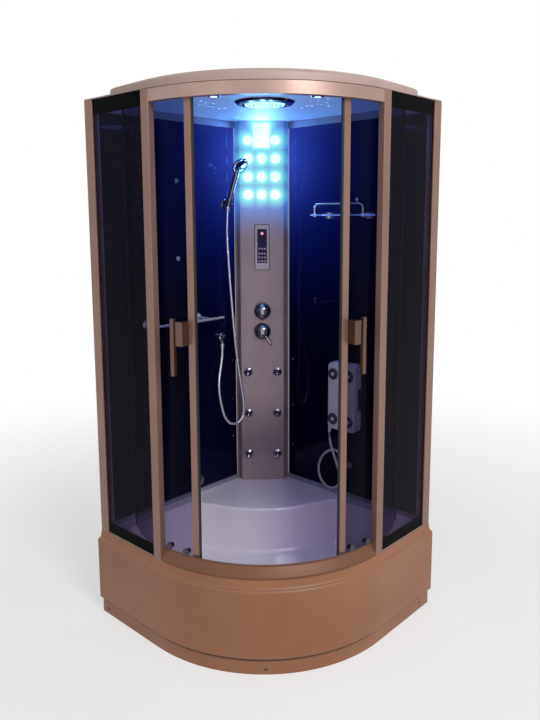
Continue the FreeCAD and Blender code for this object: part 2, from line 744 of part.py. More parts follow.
def column_lamps():
    """Lamp lenses in the column front and the board with a light source behind each one."""
    lens = [(0, -5, 0), (LENS_R, -5, 0), (LENS_R, 2, -1.2), (0, 2, 0)]
    lenses = [turned(lens, diagonal_spot(across, COL_FACE, z), COLUMN_IN) for across, z in lens_places()]
    pane = rectangle(-WINDOW_HALF, WINDOW_HALF, WINDOW_LOW, WINDOW_HIGH, 3.0)
    lenses.append(column_plate(pane, COL_FACE - 5, COL_FACE + 1))
    keep("lamp_lenses", Part.makeCompound(lenses))
    edge = LENS_PITCH + LENS_R + 4
    low = LENS_TOP_Z - LENS_STEP * (LENS_ROWS - 1) - LENS_R - 4
    board = column_plate(rectangle(-edge, edge, low, WINDOW_HIGH - 2), COL_FACE - 12, COL_FACE - 10)
    chips = [column_plate(rectangle(across - 5, across + 5, z - 5, z + 5), COL_FACE - 10.5,
                          COL_FACE - 5 - TOUCH)
             for across, z in lens_places()]
    studs = [rod(diagonal_spot(across, COL_FACE - 10.5, z),
                 diagonal_spot(across, COL_FACE - COL_WALL - TOUCH, z), 3)
             for across in (-edge + 5, edge - 5) for z in (low + 5, low + 5 + LENS_STEP)]
    keep("lamp_board", board.fuse(chips + studs).removeSplitter())


def display():
    face = COL_FACE + TOUCH
    outline = rectangle(-DISPLAY_HALF, DISPLAY_HALF, DISPLAY_LOW, DISPLAY_HIGH, 5.0)
    window = rectangle(-SCREEN_HALF, SCREEN_HALF, SCREEN_LOW, SCREEN_HIGH, 2.0)
    bezel = column_plate(outline, face, face + 5).cut(column_plate(window, face - 1, face + 9))
    box_back = rectangle(-SCREEN_HALF - 3, SCREEN_HALF + 3, SCREEN_LOW - 5, SCREEN_HIGH + 5)
    collar = column_plate(box_back, COL_FACE - 9, face + 1).cut(column_plate(window, COL_FACE - 10, face + 9))
    keep("display_bezel", bezel.fuse(collar).removeSplitter())
    pane = rectangle(-SCREEN_HALF + CLEAR, SCREEN_HALF - CLEAR, SCREEN_LOW + CLEAR, SCREEN_HIGH - CLEAR, 2.0)
    keep("display_screen", column_plate(pane, COL_FACE - 9, face + 3.4))


def column_flanges():
    """Round cover flanges of the two valves and the six body jets."""
    pieces = []
    cover = [(SPINDLE_R + CLEAR, TOUCH, 0), (FLANGE_R, TOUCH, 0), (FLANGE_R, 4, 0), (KNOB_R + 4, 9, 0),
             (SPINDLE_R + CLEAR, 9, 0)]
    for z in (DIVERTER_Z, MIXER_Z):
        pieces.append(turned(cover, diagonal_spot(0, COL_FACE, z), COLUMN_IN))
    bore = JET_BALL_R + CLEAR
    ring = [(bore, -9, 0), (JET_TAIL_R, -9, 0), (JET_TAIL_R, TOUCH, 0), (JET_R, TOUCH, 0), (JET_R, 3, 0),
            (bore + 2, 7, 0), (bore, 6, 0)]
    for across, z in jet_places():
        pieces.append(turned(ring, diagonal_spot(across, COL_FACE, z), COLUMN_IN))
    keep("column_flanges", Part.makeCompound(pieces))


def jet_nozzles():
    """Swivelling nozzles: a faceted ball with a spout and a water bore."""
    for number, (across, z) in enumerate(jet_places(), start=1):
        spot = diagonal_spot(across, COL_FACE, z)
        ball = [(3, -8, 0), (7.5, -8, 0), (JET_BALL_R, -1.5, 0), (JET_BALL_R, 1.5, 0), (7, 8.5, 0),
                (7, JET_BALL_R + 4, 0), (3, JET_BALL_R + 2, 0)]
        keep("jet_nozzle_%d" % number, turned(ball, spot, COLUMN_IN))


def valve_controls():
    """Diverter knob and mixer lever, each with the spindle that enters its valve."""
    start = 9 + CLEAR
    stem = -24.0
    knob = [(0, stem, 0), (SPINDLE_R - RUNNING + CLEAR, stem, 0), (SPINDLE_R - RUNNING + CLEAR, start, 0),
            (KNOB_R, start, 0), (KNOB_R, start + 6, 0), (KNOB_R - 4, start + KNOB_LONG, -2),
            (0, start + KNOB_LONG, 0)]
    spot = diagonal_spot(0, COL_FACE, DIVERTER_Z)
    flutes = []
    for turn in range(0, 360, 45):
        flute = Part.makeCylinder(4.0, 40, V(KNOB_R + 1.0, 0, start + 5))
        flute.rotate(V(0, 0, 0), UP, turn)
        flutes.append(flute)
    cutter = aimed(Part.makeCompound(flutes), spot, COLUMN_IN)
    keep("diverter_knob", turned(knob, spot, COLUMN_IN).cut(cutter))
    body = [(0, stem, 0), (SPINDLE_R - RUNNING + CLEAR, stem, 0), (SPINDLE_R - RUNNING + CLEAR, start, 0),
            (KNOB_R + 2, start, 0), (KNOB_R + 2, start + 16, 0), (KNOB_R - 6, start + 24, 0),
            (0, start + 26, 0)]
    spot = diagonal_spot(0, COL_FACE, MIXER_Z)
    away = (ACROSS * 40 - UP * 62).normalize()
    neck = spot + COLUMN_IN * (start + 16)
    tip = neck + away * LEVER_LONG + COLUMN_IN * 14
    lever = Part.makeCone(7.0, 4.5, (tip - neck).Length, neck, tip - neck)
    keep("mixer_lever", turned(body, spot, COLUMN_IN).fuse(lever).removeSplitter())


def water_valves():
    """Diverter and mixer bodies behind the column, the riser that feeds the jets, and the two inlets."""
    back = COL_FACE - COL_WALL - TOUCH
    near = back - 44
    pieces = []
    for z in (DIVERTER_Z, MIXER_Z):
        pieces.append(column_plate(rectangle(-24, 24, z - 24, z + 24, 6.0), near, back))
    middle = back - 30
    riser = rod(diagonal_spot(0, middle, JET_ROWS[-1] - 14), diagonal_spot(0, middle, DIVERTER_Z), 9.0)
    pieces.append(riser)
    for z in JET_ROWS:
        pieces.append(rod(diagonal_spot(-JET_ACROSS - 13, middle, z),
                          diagonal_spot(JET_ACROSS + 13, middle, z), 9.0))
    for across, z in jet_places():
        pieces.append(rod(diagonal_spot(across, middle, z),
                          diagonal_spot(across, COL_FACE - 9 - TOUCH, z), 12.0))
    for side in (-1, 1):
        elbow = diagonal_spot(side * 45, middle, MIXER_Z)
        pieces.append(rod(diagonal_spot(0, middle, MIXER_Z), elbow, 10.0))
        block = rectangle(side * 45 - 14, side * 45 + 14, MIXER_Z - 14, MIXER_Z + 14, 4.0)
        pieces.append(column_plate(block, middle - 14, middle + 14))
        pieces.append(rod(elbow, elbow - COLUMN_IN * 50, 10.5))
    body = pieces[0].fuse(pieces[1:])
    holes = [rod(diagonal_spot(0, back - 26, z), diagonal_spot(0, COL_FACE + 5, z), SPINDLE_R + CLEAR)
             for z in (DIVERTER_Z, MIXER_Z)]
    chambers = [rod(diagonal_spot(across, middle + 6, z), diagonal_spot(across, COL_FACE, z), 9.0)
                for across, z in jet_places()]
    inlets = [rod(diagonal_spot(side * 45, middle - 51, MIXER_Z),
                  diagonal_spot(side * 45, middle - 10, MIXER_Z), 7.0)
              for side in (-1, 1)]
    keep("water_valves", body.cut(Part.makeCompound(holes + chambers + inlets)))


def steam_generator():
    """Boiler box on the tray deck behind the column, with its water inlet and steam stub."""
    half = STEAM_WIDE / 2
    near = half + 8
    low = RIM_TOP + TOUCH
    outline = [(-half, near, 6.0), (half, near, 6.0), (half, near + STEAM_DEEP, 6.0),
               (-half, near + STEAM_DEEP, 6.0)]
    body = column_prism(outline, low, low + STEAM_HIGH)
    top = diagonal_spot(-30, near + 30, low + STEAM_HIGH - 1)
    stub = Part.makeCylinder(10.0, 26, top)
    inlet = Part.makeCylinder(7.0, 22, diagonal_spot(35, near + 30, low + STEAM_HIGH - 1))
    ribs = [column_plate(rectangle(-half + 14, half - 14, low + z, low + z + 6), near + STEAM_DEEP - 1,
                         near + STEAM_DEEP + 3) for z in (60, 80, 100, 120)]
    keep("steam_generator", body.fuse([stub, inlet] + ribs).removeSplitter())


# ---- roof and ceiling ----

def ceiling_hole(across, along, radius):
    return Part.makeCylinder(radius, 60.0, diagonal_spot(across, along, CEILING_Z - 20))


def ceiling_panel():
    panel = prism(quadrant(RAIL_INNER + CLEAR, 2.0, 4.0), CEILING_Z, FRAME_TOP - TOUCH)
    cuts = [ceiling_hole(0, HEAD_ALONG, 30 + CLEAR), ceiling_hole(FAN_ACROSS, FAN_ALONG, FAN_R - 3)]
    cuts += [ceiling_hole(side * SPOT_ACROSS, SPOT_ALONG, SPOT_R - 3) for side in (-1, 1)]
    keep("ceiling_panel", panel.cut(Part.makeCompound(cuts)))


def roof_dome(grow):
    """Crowned quadrant dome with an upright edge and a sloping shoulder; grow moves every face outwards."""
    wall = ROOF_END - grow
    left = -HALF + wall
    near = -HALF + ROOF_INSET - grow
    corner = ROOF_CORNER + grow
    foot = [(left, near, corner), (-near, near, ARC_R - ROOF_INSET + grow), (-near, -left, corner),
            (left, -left, 60.0 + grow)]
    crown = FRAME_TOP + ROOF_RISE + grow
    levels = [(foot, FRAME_TOP), (inset(foot, 2.0), FRAME_TOP + ROOF_EDGE + grow),
              (inset(foot, 2.0 + ROOF_SHOULDER), FRAME_TOP + ROOF_EDGE + ROOF_SHOULDER + grow)]
    wires = [loop(outline, lambda a, b, z=z: V(a, b, z)) for outline, z in levels]
    top = prism(levels[-1][0], levels[-1][1], crown + 1)
    block = Part.makeLoft(wires, True, True).fuse(top)
    return block.common(Part.makeSphere(CROWN_R, V(0, 0, crown - CROWN_R)))


def roof_shell():
    low = FRAME_TOP + TOUCH
    flange = prism(quadrant(FRAME_INSET - 4, 3.0, 4.0), low, low + ROOF_WALL)
    shell = roof_dome(0).fuse(flange).cut(roof_dome(-ROOF_WALL)).cut(box(-SIDE, SIDE, -SIDE, SIDE, 0, low))
    keep("roof_shell", shell.removeSplitter())


def rain_head():
    """Ceiling rain shower: spray face with nozzle rings, and the stem through the ceiling."""
    low = CEILING_Z - 13
    spot = diagonal_spot(0, HEAD_ALONG, low)
    up = CEILING_Z - low
    disc = [(0, 0, 0), (HEAD_R, 0, -1.5), (HEAD_R, 6, 0), (30, up - TOUCH, 0), (30, up + 14, 0),
            (0, up + 14, 0)]
    keep("rain_head", turned(disc, spot, UP))
    ring = [(HEAD_R + 4, up - 3, 0), (HEAD_R + 10, 1, 0), (HEAD_RING_R - 10, 4, 0),
            (HEAD_RING_R, up - TOUCH, 0),
            (HEAD_R + 4, up - TOUCH, 0)]
    pieces = [turned(ring, spot, UP)]
    lamp = [(SPOT_R - 6, -5, 0), (SPOT_R, -5, 0), (SPOT_R + 4, -TOUCH, 0), (SPOT_R - 6, -TOUCH, 0)]
    for side in (-1, 1):
        pieces.append(turned(lamp, diagonal_spot(side * SPOT_ACROSS, SPOT_ALONG, CEILING_Z), UP))
    keep("ceiling_rings", Part.makeCompound(pieces))


def fan():
    """Extractor fan above the ceiling: square duct with a spoked grille, and its bladed rotor."""
    spot = diagonal_spot(FAN_ACROSS, FAN_ALONG, 0)
    low = FRAME_TOP
    half = FAN_BODY / 2
    housing = box(spot.x - half, spot.x + half, spot.y - half, spot.y + half, low, low + FAN_HIGH)
    housing = housing.cut(Part.makeCylinder(FAN_R, FAN_HIGH + 2, V(spot.x, spot.y, low + 3)))
    arms = [box(-FAN_R - 1, FAN_R + 1, -2, 2, low, low + 3), box(-2, 2, -FAN_R - 1, FAN_R + 1, low, low + 3)]
    housing = housing.cut(Part.makeCylinder(FAN_R, 6, V(spot.x, spot.y, low - 1)))
    for arm in arms:
        arm.Placement = FreeCAD.Placement(V(spot.x, spot.y, 0), FreeCAD.Rotation(UP, 45))
    hub = Part.makeCylinder(14.0, 3.0, V(spot.x, spot.y, low))
    pin = Part.makeCylinder(2.0, FAN_HIGH - 4, V(spot.x, spot.y, low))
    keep("fan_housing", housing.fuse(arms + [hub, pin]).removeSplitter())
    rotor_low = low + 3 + CLEAR
    hub = Part.makeCylinder(13.0, FAN_HIGH - 6, V(spot.x, spot.y, rotor_low))
    blades = []
    for number in range(FAN_BLADES):
        blade = box(11.0, FAN_R - 2, -0.8, 0.8, -6.5, 6.5)
        blade.rotate(V(0, 0, 0), V(1, 0, 0), 38)
        blade.rotate(V(0, 0, 0), UP, 360.0 * number / FAN_BLADES)
        blade.translate(V(spot.x, spot.y, rotor_low + (FAN_HIGH - 6) / 2))
        blades.append(blade)
    bore = Part.makeCylinder(2.0 + RUNNING, FAN_HIGH, V(spot.x, spot.y, rotor_low - 1))
    keep("fan_impeller", hub.fuse(blades).cut(bore).removeSplitter())


# ---- doors, built on the right and mirrored for the left ----

def door_sector(near, far, start, end, low, high):
    """Block between two setbacks and two angles."""
    section = [(near, low, 0), (far, low, 0), (far, high, 0), (near, high, 0)]
    return front_arc(section, start, end)


def roller_places():
    """Angle and height of each roller of a door."""
    lead = OPEN_ANGLE + ROLLER_LEAD
    trail = OPEN_ANGLE + ROLLER_TRAIL
    lift = ROLLER_GROOVE_R + CLEAR / 2
    return [("top_front", lead, HEADER_LIP_Z + lift), ("top_rear", trail, HEADER_LIP_Z + lift),
            ("bottom_front", lead, SILL_LIP_Z + lift), ("bottom_rear", trail, SILL_LIP_Z + lift)]


def door_glass():
    start = OPEN_ANGLE + SEAL_ANGLE + 1.1
    glass = door_sector(DOOR_INSET, DOOR_INSET + GLASS, start, OPEN_ANGLE + DOOR_ANGLE, DOOR_LOW, DOOR_HIGH)
    holes = [rod(front_spot(DOOR_INSET - 9, angle, z), front_spot(DOOR_INSET + 14, angle, z), AXLE_R + CLEAR)
             for name, angle, z in roller_places()]
    return glass.cut(Part.makeCompound(holes))


def door_stile():
    start = OPEN_ANGLE + SEAL_ANGLE
    block = door_sector(STILE_OUT, STILE_IN, start, start + STILE_ANGLE, DOOR_LOW, DOOR_HIGH)
    slot = door_sector(DOOR_INSET - CLEAR / 2, DOOR_INSET + GLASS + CLEAR / 2, start + 1.08,
                       start + STILE_ANGLE + 1, DOOR_LOW - 1, DOOR_HIGH + 1)
    hollow = door_sector(STILE_OUT + SECTION_WALL, STILE_IN - SECTION_WALL, start + 0.2, start + 0.88,
                         DOOR_LOW - 1, DOOR_HIGH + 1)
    return block.cut(slot).cut(hollow)


def door_seal():
    """Magnetic strip on the leading edge and fin on the trailing edge."""
    lead = door_sector(STILE_OUT + 1.5, STILE_IN - 1.5, OPEN_ANGLE + 0.03, OPEN_ANGLE + SEAL_ANGLE - 0.002,
                       DOOR_LOW, DOOR_HIGH)
    edge = OPEN_ANGLE + DOOR_ANGLE + 0.002
    fin = door_sector(RAIL_INNER + 0.8, DOOR_INSET + GLASS, edge, edge + 0.35, DOOR_LOW, DOOR_HIGH)
    return Part.makeCompound([lead, fin])


def door_fittings():
    """Handle bar and block, its clamp plate inside, and the axle of each roller with washer and cap."""
    low = HANDLE_Z - HANDLE_LONG / 2
    start = OPEN_ANGLE + SEAL_ANGLE + STILE_ANGLE + 0.1
    block_end = start + 3.2
    bar = door_sector(6.0, 22.0, block_end, block_end + 1.45, low, low + HANDLE_LONG)
    block_low = HANDLE_BLOCK_Z - HANDLE_BLOCK_HIGH / 2
    block = door_sector(12.0, DOOR_INSET - TOUCH, start, block_end + 0.1, block_low,
                        block_low + HANDLE_BLOCK_HIGH)
    foot = door_sector(12.0, DOOR_INSET - TOUCH, block_end, block_end + 1.45, block_low + 20, block_low + 66)
    relief = door_sector(26.0, DOOR_INSET - 6, block_end - 0.6, block_end + 2, block_low + 10, block_low + 76)
    handle = bar.fuse([block, foot]).cut(relief).removeSplitter()
    inside = DOOR_INSET + GLASS + TOUCH
    plate = door_sector(inside, inside + 8, start, block_end, block_low, block_low + HANDLE_BLOCK_HIGH)
    pieces = [handle, plate]
    cap = 9.0
    seat = -TOUCH - cap ** 2 / (2 * (ARC_R - inside))     # the flat cap touches the hollow glass at its edge
    track = DOOR_INSET - TRACK_INSET + GLASS
    for name, angle, z in roller_places():
        axle = [(0, -6, 0), (cap, -6, -2), (cap, seat, 0), (AXLE_R, seat, 0), (AXLE_R, GLASS + TOUCH, 0),
                (6, GLASS + TOUCH, 0), (6, track - ROLLER_WIDE / 2 - CLEAR, 0),
                (AXLE_R, track - ROLLER_WIDE / 2 - CLEAR, 0), (AXLE_R, track + ROLLER_WIDE / 2 + 1, 0),
                (0, track + ROLLER_WIDE / 2 + 1, 0)]
        pieces.append(turned(axle, front_spot(DOOR_INSET + GLASS, angle, z), front_axis(angle)))
    return Part.makeCompound(pieces)


def roller(angle, z):
    half = ROLLER_WIDE / 2
    groove = TRACK_LIP / 2 + 0.7
    bore = AXLE_R + RUNNING
    section = [(bore, -half, 0), (ROLLER_R, -half, 0), (ROLLER_R, -groove - 0.6, 0),
               (ROLLER_GROOVE_R, -groove, 0),
               (ROLLER_GROOVE_R, groove, 0), (ROLLER_R, groove + 0.6, 0), (ROLLER_R, half, 0),
                (bore, half, 0)]
    return turned(section, front_spot(TRACK_INSET, angle, z), front_axis(angle))


def doors():
    for piece, make in (("glass", door_glass), ("stile", door_stile), ("seal", door_seal),
                        ("fittings", door_fittings)):
        shape = make()
        keep("door_%s_right" % piece, shape)
        keep("door_%s_left" % piece, mirrored(shape))
    for name, angle, z in roller_places():
        shape = roller(angle, z)
        keep("roller_right_" + name, shape)
        keep("roller_left_" + name, mirrored(shape))


# ---- fittings on the walls ----

def hose_outlet():
    """Body of the hand shower's outlet valve, with its tail, its nut below and the bore for the lever pin."""
    body = [(0, 3, 0), (TAIL_R, 3, 0), (TAIL_R, SEAT, 0), (OUTLET_R, SEAT, 0), (OUTLET_R, OUTLET_OUT - 5, 0),
            (OUTLET_R - 5, OUTLET_OUT, 0), (0, OUTLET_OUT, 0)]
    valve = turned(body, left_spot(0, OUTLET_Y, OUTLET_Z), LEFT_IN)
    start = left_spot(OUTLET_OUT - 9, OUTLET_Y, OUTLET_Z)
    nut = rod(start, start - UP * OUTLET_DROP, HOSE_R + 2)
    pin = rod(start, start + LEFT_IN * 20, PIVOT_R + RUNNING)
    return valve.fuse(nut).cut(pin).removeSplitter()


def holder_base():
    """Rosette with two ears that carry the pivot of the hand shower holder."""
    spot = left_spot(0, SHOWER_Y, SHOWER_Z)
    plate = turned([(0, SEAT, 0), (26, SEAT, 0), (26, SEAT + 3, 0), (22, SEAT + 5, 0), (0, SEAT + 5, 0)],
                   spot, LEFT_IN)
    pivot = left_spot(SHOWER_OUT, SHOWER_Y, SHOWER_Z)
    ears = []
    for side in (-1, 1):
        near = pivot + V(0, side * (SHOWER_NUT_R + HOLDER_WALL + 3), 0)
        far = near + V(0, side * 4, 0)
        y0, y1 = sorted((near.y, far.y))
        ears.append(box(-HALF + SEAT + 1, pivot.x, y0, y1, SHOWER_Z - 8, SHOWER_Z + 8))
        ears.append(rod(near, far, 8.0))
    bore = rod(pivot - V(0, 40, 0), pivot + V(0, 40, 0), PIVOT_R + RUNNING)
    return plate.fuse(ears).cut(bore).removeSplitter()


def massager_tap():
    """Elbow of the massager's outlet; its nut points up and to the left."""
    body = [(0, 3, 0), (TAIL_R, 3, 0), (TAIL_R, SEAT, 0), (TAP_R, SEAT, 0), (TAP_R, SEAT + 3, 0),
            (TAIL_R, SEAT + 6, 0), (TAIL_R, TAP_OUT + TAIL_R, -3), (0, TAP_OUT + TAIL_R, 0)]
    elbow = turned(body, right_spot(0, TAP_X, TAP_Z), RIGHT_IN)
    start = right_spot(TAP_OUT, TAP_X, TAP_Z)
    return elbow.fuse(rod(start, start + tap_direction() * TAP_NUT, MASSAGER_HOSE_R + 1.5)).removeSplitter()


def tap_direction():
    turn = math.radians(TAP_TURN)
    return V(math.cos(turn), 0, math.sin(turn))


def steam_outlet():
    """Domed cap on the left wall with steam slots round its edge."""
    body = [(0, 3, 0), (TAIL_R, 3, 0), (TAIL_R, SEAT, 0), (28, SEAT, 0), (28, SEAT + 4, 0),
            (24, SEAT + 16, 0),
            (0, SEAT + 20, 0)]
    spot = left_spot(0, STEAM_Y, STEAM_Z)
    slots = [box(14, 40, -2, 2, SEAT + 6, SEAT + 12) for turn in range(8)]
    for number, slot in enumerate(slots):
        slot.rotate(V(0, 0, 0), UP, 45 * number)
    return turned(body, spot, LEFT_IN).cut(aimed(Part.makeCompound(slots), spot, LEFT_IN))


def wall_outlets():
    """The chrome pieces screwed to the wall glass."""
    pieces = [hose_outlet(), holder_base(), massager_tap(), steam_outlet()]
    keep("wall_outlets", Part.makeCompound(pieces))


def outlet_lever():
    """Hub on the front of the outlet valve with a tapering lever."""
    spot = left_spot(0, OUTLET_Y, OUTLET_Z)
    face = OUTLET_OUT + CLEAR
    hub = turned([(0, face - 6, 0), (PIVOT_R, face - 6, 0), (PIVOT_R, face, 0), (11, face, 0),
                  (11, face + 7, 0),
                  (8, face + 11, 0), (0, face + 11, 0)], spot, LEFT_IN)
    rise = math.radians(LEVER_RISE)
    start = spot + LEFT_IN * (face + 5.5)
    arm = Part.makeCone(4.5, 3.2, LEVER_REACH, start, V(0, -math.cos(rise), math.sin(rise)))
    keep("outlet_lever", hub.fuse(arm).removeSplitter())


def towel_bar():
    bar = rod(left_spot(TOWEL_OUT, TOWEL_ENDS[0], TOWEL_Z), left_spot(TOWEL_OUT, TOWEL_ENDS[1], TOWEL_Z),
              TOWEL_R)
    posts = []
    for y in TOWEL_POSTS:
        post = [(0, SEAT, 0), (20, SEAT, 0), (20, SEAT + 4, 0), (TOWEL_R + 2, SEAT + 9, 0),
                (TOWEL_R, TOWEL_OUT, 0),
                (0, TOWEL_OUT, 0)]
        posts.append(turned(post, left_spot(0, y, TOWEL_Z), LEFT_IN))
    keep("towel_bar", bar.fuse(posts).removeSplitter())


def shelf():
    """Glass shelf held by two wall clamps, and the bent guard rail that stands on it."""
    left, right = SHELF_X
    back = HALF - WALL_FACE - 5
    front = HALF - SHELF_OUT
    corners = [(left, front, SHELF_CORNER), (right, front, SHELF_CORNER), (right, back, 0), (left, back, 0)]
    glass = prism(corners, SHELF_Z, SHELF_Z + SHELF_GLASS)
    holes = [Part.makeCylinder(PIVOT_R + CLEAR, 30, right_spot(RAIL_OUT, x, SHELF_Z - 10)) for x in RAIL_X]
    keep("shelf_glass", glass.cut(Part.makeCompound(holes)))
    top = SHELF_Z + SHELF_GLASS + TOUCH
    feet = [right_spot(RAIL_OUT, x, top + 3) for x in RAIL_X]
    ends = [right_spot(RAIL_OUT, x, RAIL_TOP_Z) for x in RAIL_X]
    rail = tube([feet[0], ends[0], ends[1], feet[1]], RAIL_R, RAIL_BEND)
    knob = right_spot(RAIL_OUT, RAIL_KNOB_X, RAIL_TOP_Z)
    parts = [turned([(0, 0, 0), (2.5, 0, 0), (2.5, 12, 0), (6, 15, 0), (6, 21, 0), (3, 24, 0),
                     (0, 24, 0)], knob, UP)]
    below = SHELF_GLASS + 2 * TOUCH
    for x in RAIL_X:
        foot = [(0, 4, 0), (8, 4, 0), (9, 0, 0), (PIVOT_R, 0, 0), (PIVOT_R, -below, 0), (7, -below, 0),
                (7, -below - 5, 0), (0, -below - 5, 0)]
        parts.append(turned(foot, right_spot(RAIL_OUT, x, top), UP))
    pieces = [rail.fuse(parts).removeSplitter()]
    slot = box(left, right, front, back + CLEAR, SHELF_Z - TOUCH, top)
    for x in SHELF_CLAMPS:
        clamp = prism([(x - 14, HALF - 46, -8), (x + 14, HALF - 46, -8), (x + 14, HALF - SEAT, 0),
                       (x - 14, HALF - SEAT, 0)], SHELF_Z - 12, top + 8)
        pieces.append(clamp.cut(slot))
    keep("shelf_rail", Part.makeCompound(pieces))


def massager_jet_places():
    return [(x, z) for x in MASSAGER_JET_X for z in MASSAGER_JET_Z]


def massager():
    """Wall-hung massager: moulded housing, dark bracket through its back, and a spray ring round each jet."""
    back, front = MASSAGER_OUT
    outline = rectangle(*MASSAGER_X, *MASSAGER_Z, MASSAGER_CORNER)
    wires = []
    for edge, out in ((0.0, back), (0.0, front - 14), (3.0, front - 6), (9.0, front)):
        wires.append(loop(inset(outline, edge), lambda a, b, out=out: right_spot(out, a, b)))
    housing = Part.makeLoft(wires, True, True)
    low, high = BRACKET_Z
    channel = box(-HALF, HALF, HALF - BRACKET_OUT - CLEAR, HALF, low - CLEAR, high + CLEAR)
    bosses = [turned([(0, front - 1, 0), (6.5, front - 1, 0), (6.5, front + 4, 0), (4, front + 5, 0),
                      (0, front + 5, 0)],
                     right_spot(0, x, z), RIGHT_IN) for x, z in massager_jet_places()]
    spot = right_spot(MASSAGER_NUT_OUT, MASSAGER_NUT_X, MASSAGER_Z[0] + MASSAGER_CORNER)
    nut = rod(spot, spot - UP * (MASSAGER_CORNER + 18), MASSAGER_NUT_R)
    keep("massager_housing", housing.cut(channel).fuse(bosses + [nut]).removeSplitter())
    pieces = [prism(rectangle(*BRACKET_X, HALF - BRACKET_OUT, HALF - SEAT, -6), low, high)]
    ring = [(6.5 + CLEAR, front + TOUCH, 0), (MASSAGER_JET_R, front + TOUCH, 0),
            (MASSAGER_JET_R, front + 2, 0),
            (MASSAGER_JET_R - 3, front + 4, 0), (11, front + 1.5, 0), (6.5 + CLEAR, front + 3.5, 0)]
    pieces += [turned(ring, right_spot(0, x, z), RIGHT_IN) for x, z in massager_jet_places()]
    keep("massager_fittings", Part.makeCompound(pieces))


def hand_shower():
    """Hand shower in its tilting holder, drawn upright at the pivot and then leaned into the cabin."""
    lean = FreeCAD.Placement(left_spot(SHOWER_OUT, SHOWER_Y, SHOWER_Z),
                             FreeCAD.Rotation(V(0, 1, 0), SHOWER_TILT))
    grip = turned([(0, 0, 0), (7, 0, 0), (7.5, 10, 0), (GRIP_R - 1, 22, 0), (GRIP_R, 60, 0),
                   (GRIP_R + 2, 130, 0),
                   (GRIP_R, SHOWER_LONG - 6, 0), (0, SHOWER_LONG, 0)], V(0, 0, 0), UP)
    face = V(math.cos(math.radians(15)), 0, -math.sin(math.radians(15)))
    head = turned([(0, -20, 0), (14, -20, 0), (SHOWER_HEAD_R - 6, -9, 0), (SHOWER_HEAD_R, -2, 0),
                   (SHOWER_HEAD_R, 3, 0),
                   (SHOWER_HEAD_R - 4, 6, 0), (SHOWER_HEAD_R - 9, 4, 0), (0, 5, 0)],
                  V(10, 0, SHOWER_LONG), face)
    nut = Part.makeSphere(SHOWER_NUT_R)
    handset = grip.fuse([head, nut]).removeSplitter()
    handset.Placement = lean
    keep("hand_shower", handset)
    inner = GRIP_R - 1 + CLEAR
    outer = inner + HOLDER_WALL
    cup = turned([(inner, 20, 0), (outer, 14, 0), (outer, 36, 0), (inner + 0.4, 36, 0)], V(0, 0, 0), UP)
    cheeks = []
    for side in (-1, 1):
        near = side * (SHOWER_NUT_R + 2)
        far = side * (SHOWER_NUT_R + 2 + HOLDER_WALL)
        y0, y1 = sorted((near, far))
        cheeks.append(box(-6, 6, y0, y1, 0, 22))
        cheeks.append(rod(V(0, near, 0), V(0, far, 0), 6.0))
        cheeks.append(rod(V(0, near, 0), V(0, far + side * 6, 0), PIVOT_R))
    holder = cup.fuse(cheeks).removeSplitter()
    holder.Placement = lean
    keep("shower_holder", holder)


def hoses():
    """Hand shower hose and massager hose, as points (distance off the wall, place along it, height)."""
    pivot = left_spot(SHOWER_OUT, SHOWER_Y, SHOWER_Z)
    hanging = [
        (39, 226, 1620), (42, 232, 1470), (48, 240, 1310), (56, 248, 1150), (65, 258, 1000), (75, 276, 850),
        (80, 289, 765), (80, 286, 702), (74, 256, 671), (67, 214, 673), (58, 184, 705), (50, 168, 768),
        (43, 160, 840), (38, 166, 905), (30, 189, 965), (26, 201, 1014),
    ]
    points = [left_spot(*place) for place in hanging]
    leave = (points[0] - pivot).normalize()
    nut = left_spot(OUTLET_OUT - 9, OUTLET_Y, OUTLET_Z - OUTLET_DROP)
    arrive = (points[-1] - nut).normalize()
    keep("shower_hose", tube([pivot + leave * (SHOWER_NUT_R + CLEAR)] + points + [nut + arrive * TOUCH],
                             HOSE_R))
    looped = [
        (56, -15, 632), (52, 4, 575), (47, 27, 512), (41, 42, 452), (34, 18, 404), (28, -40, 382),
        (24, -92, 408), (22, -111, 465), (21, -88, 532), (21, -30, 578),
    ]
    points = [right_spot(*place) for place in looped]
    start = right_spot(MASSAGER_NUT_OUT, MASSAGER_NUT_X, MASSAGER_Z[0] - 18 - TOUCH)
    end = right_spot(TAP_OUT, TAP_X, TAP_Z) + tap_direction() * (TAP_NUT + TOUCH)
    points += [end + tap_direction() * 46, end]
    keep("massager_hose", tube([start] + points, MASSAGER_HOSE_R))


tray_tub()
tray_apron()
tray_frame()
drain_waste()
uprights()
side_glass()
header_rail()
threshold_rail()
wall_panels()
control_column()
column_lamps()
display()
column_flanges()
jet_nozzles()
valve_controls()
water_valves()
steam_generator()
ceiling_panel()
roof_shell()
rain_head()
fan()
doors()
wall_outlets()
outlet_lever()
towel_bar()
shelf()
massager()
hand_shower()
hoses()
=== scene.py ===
import math

import bmesh
import bpy
import numpy as np
from mathutils import Matrix, Vector


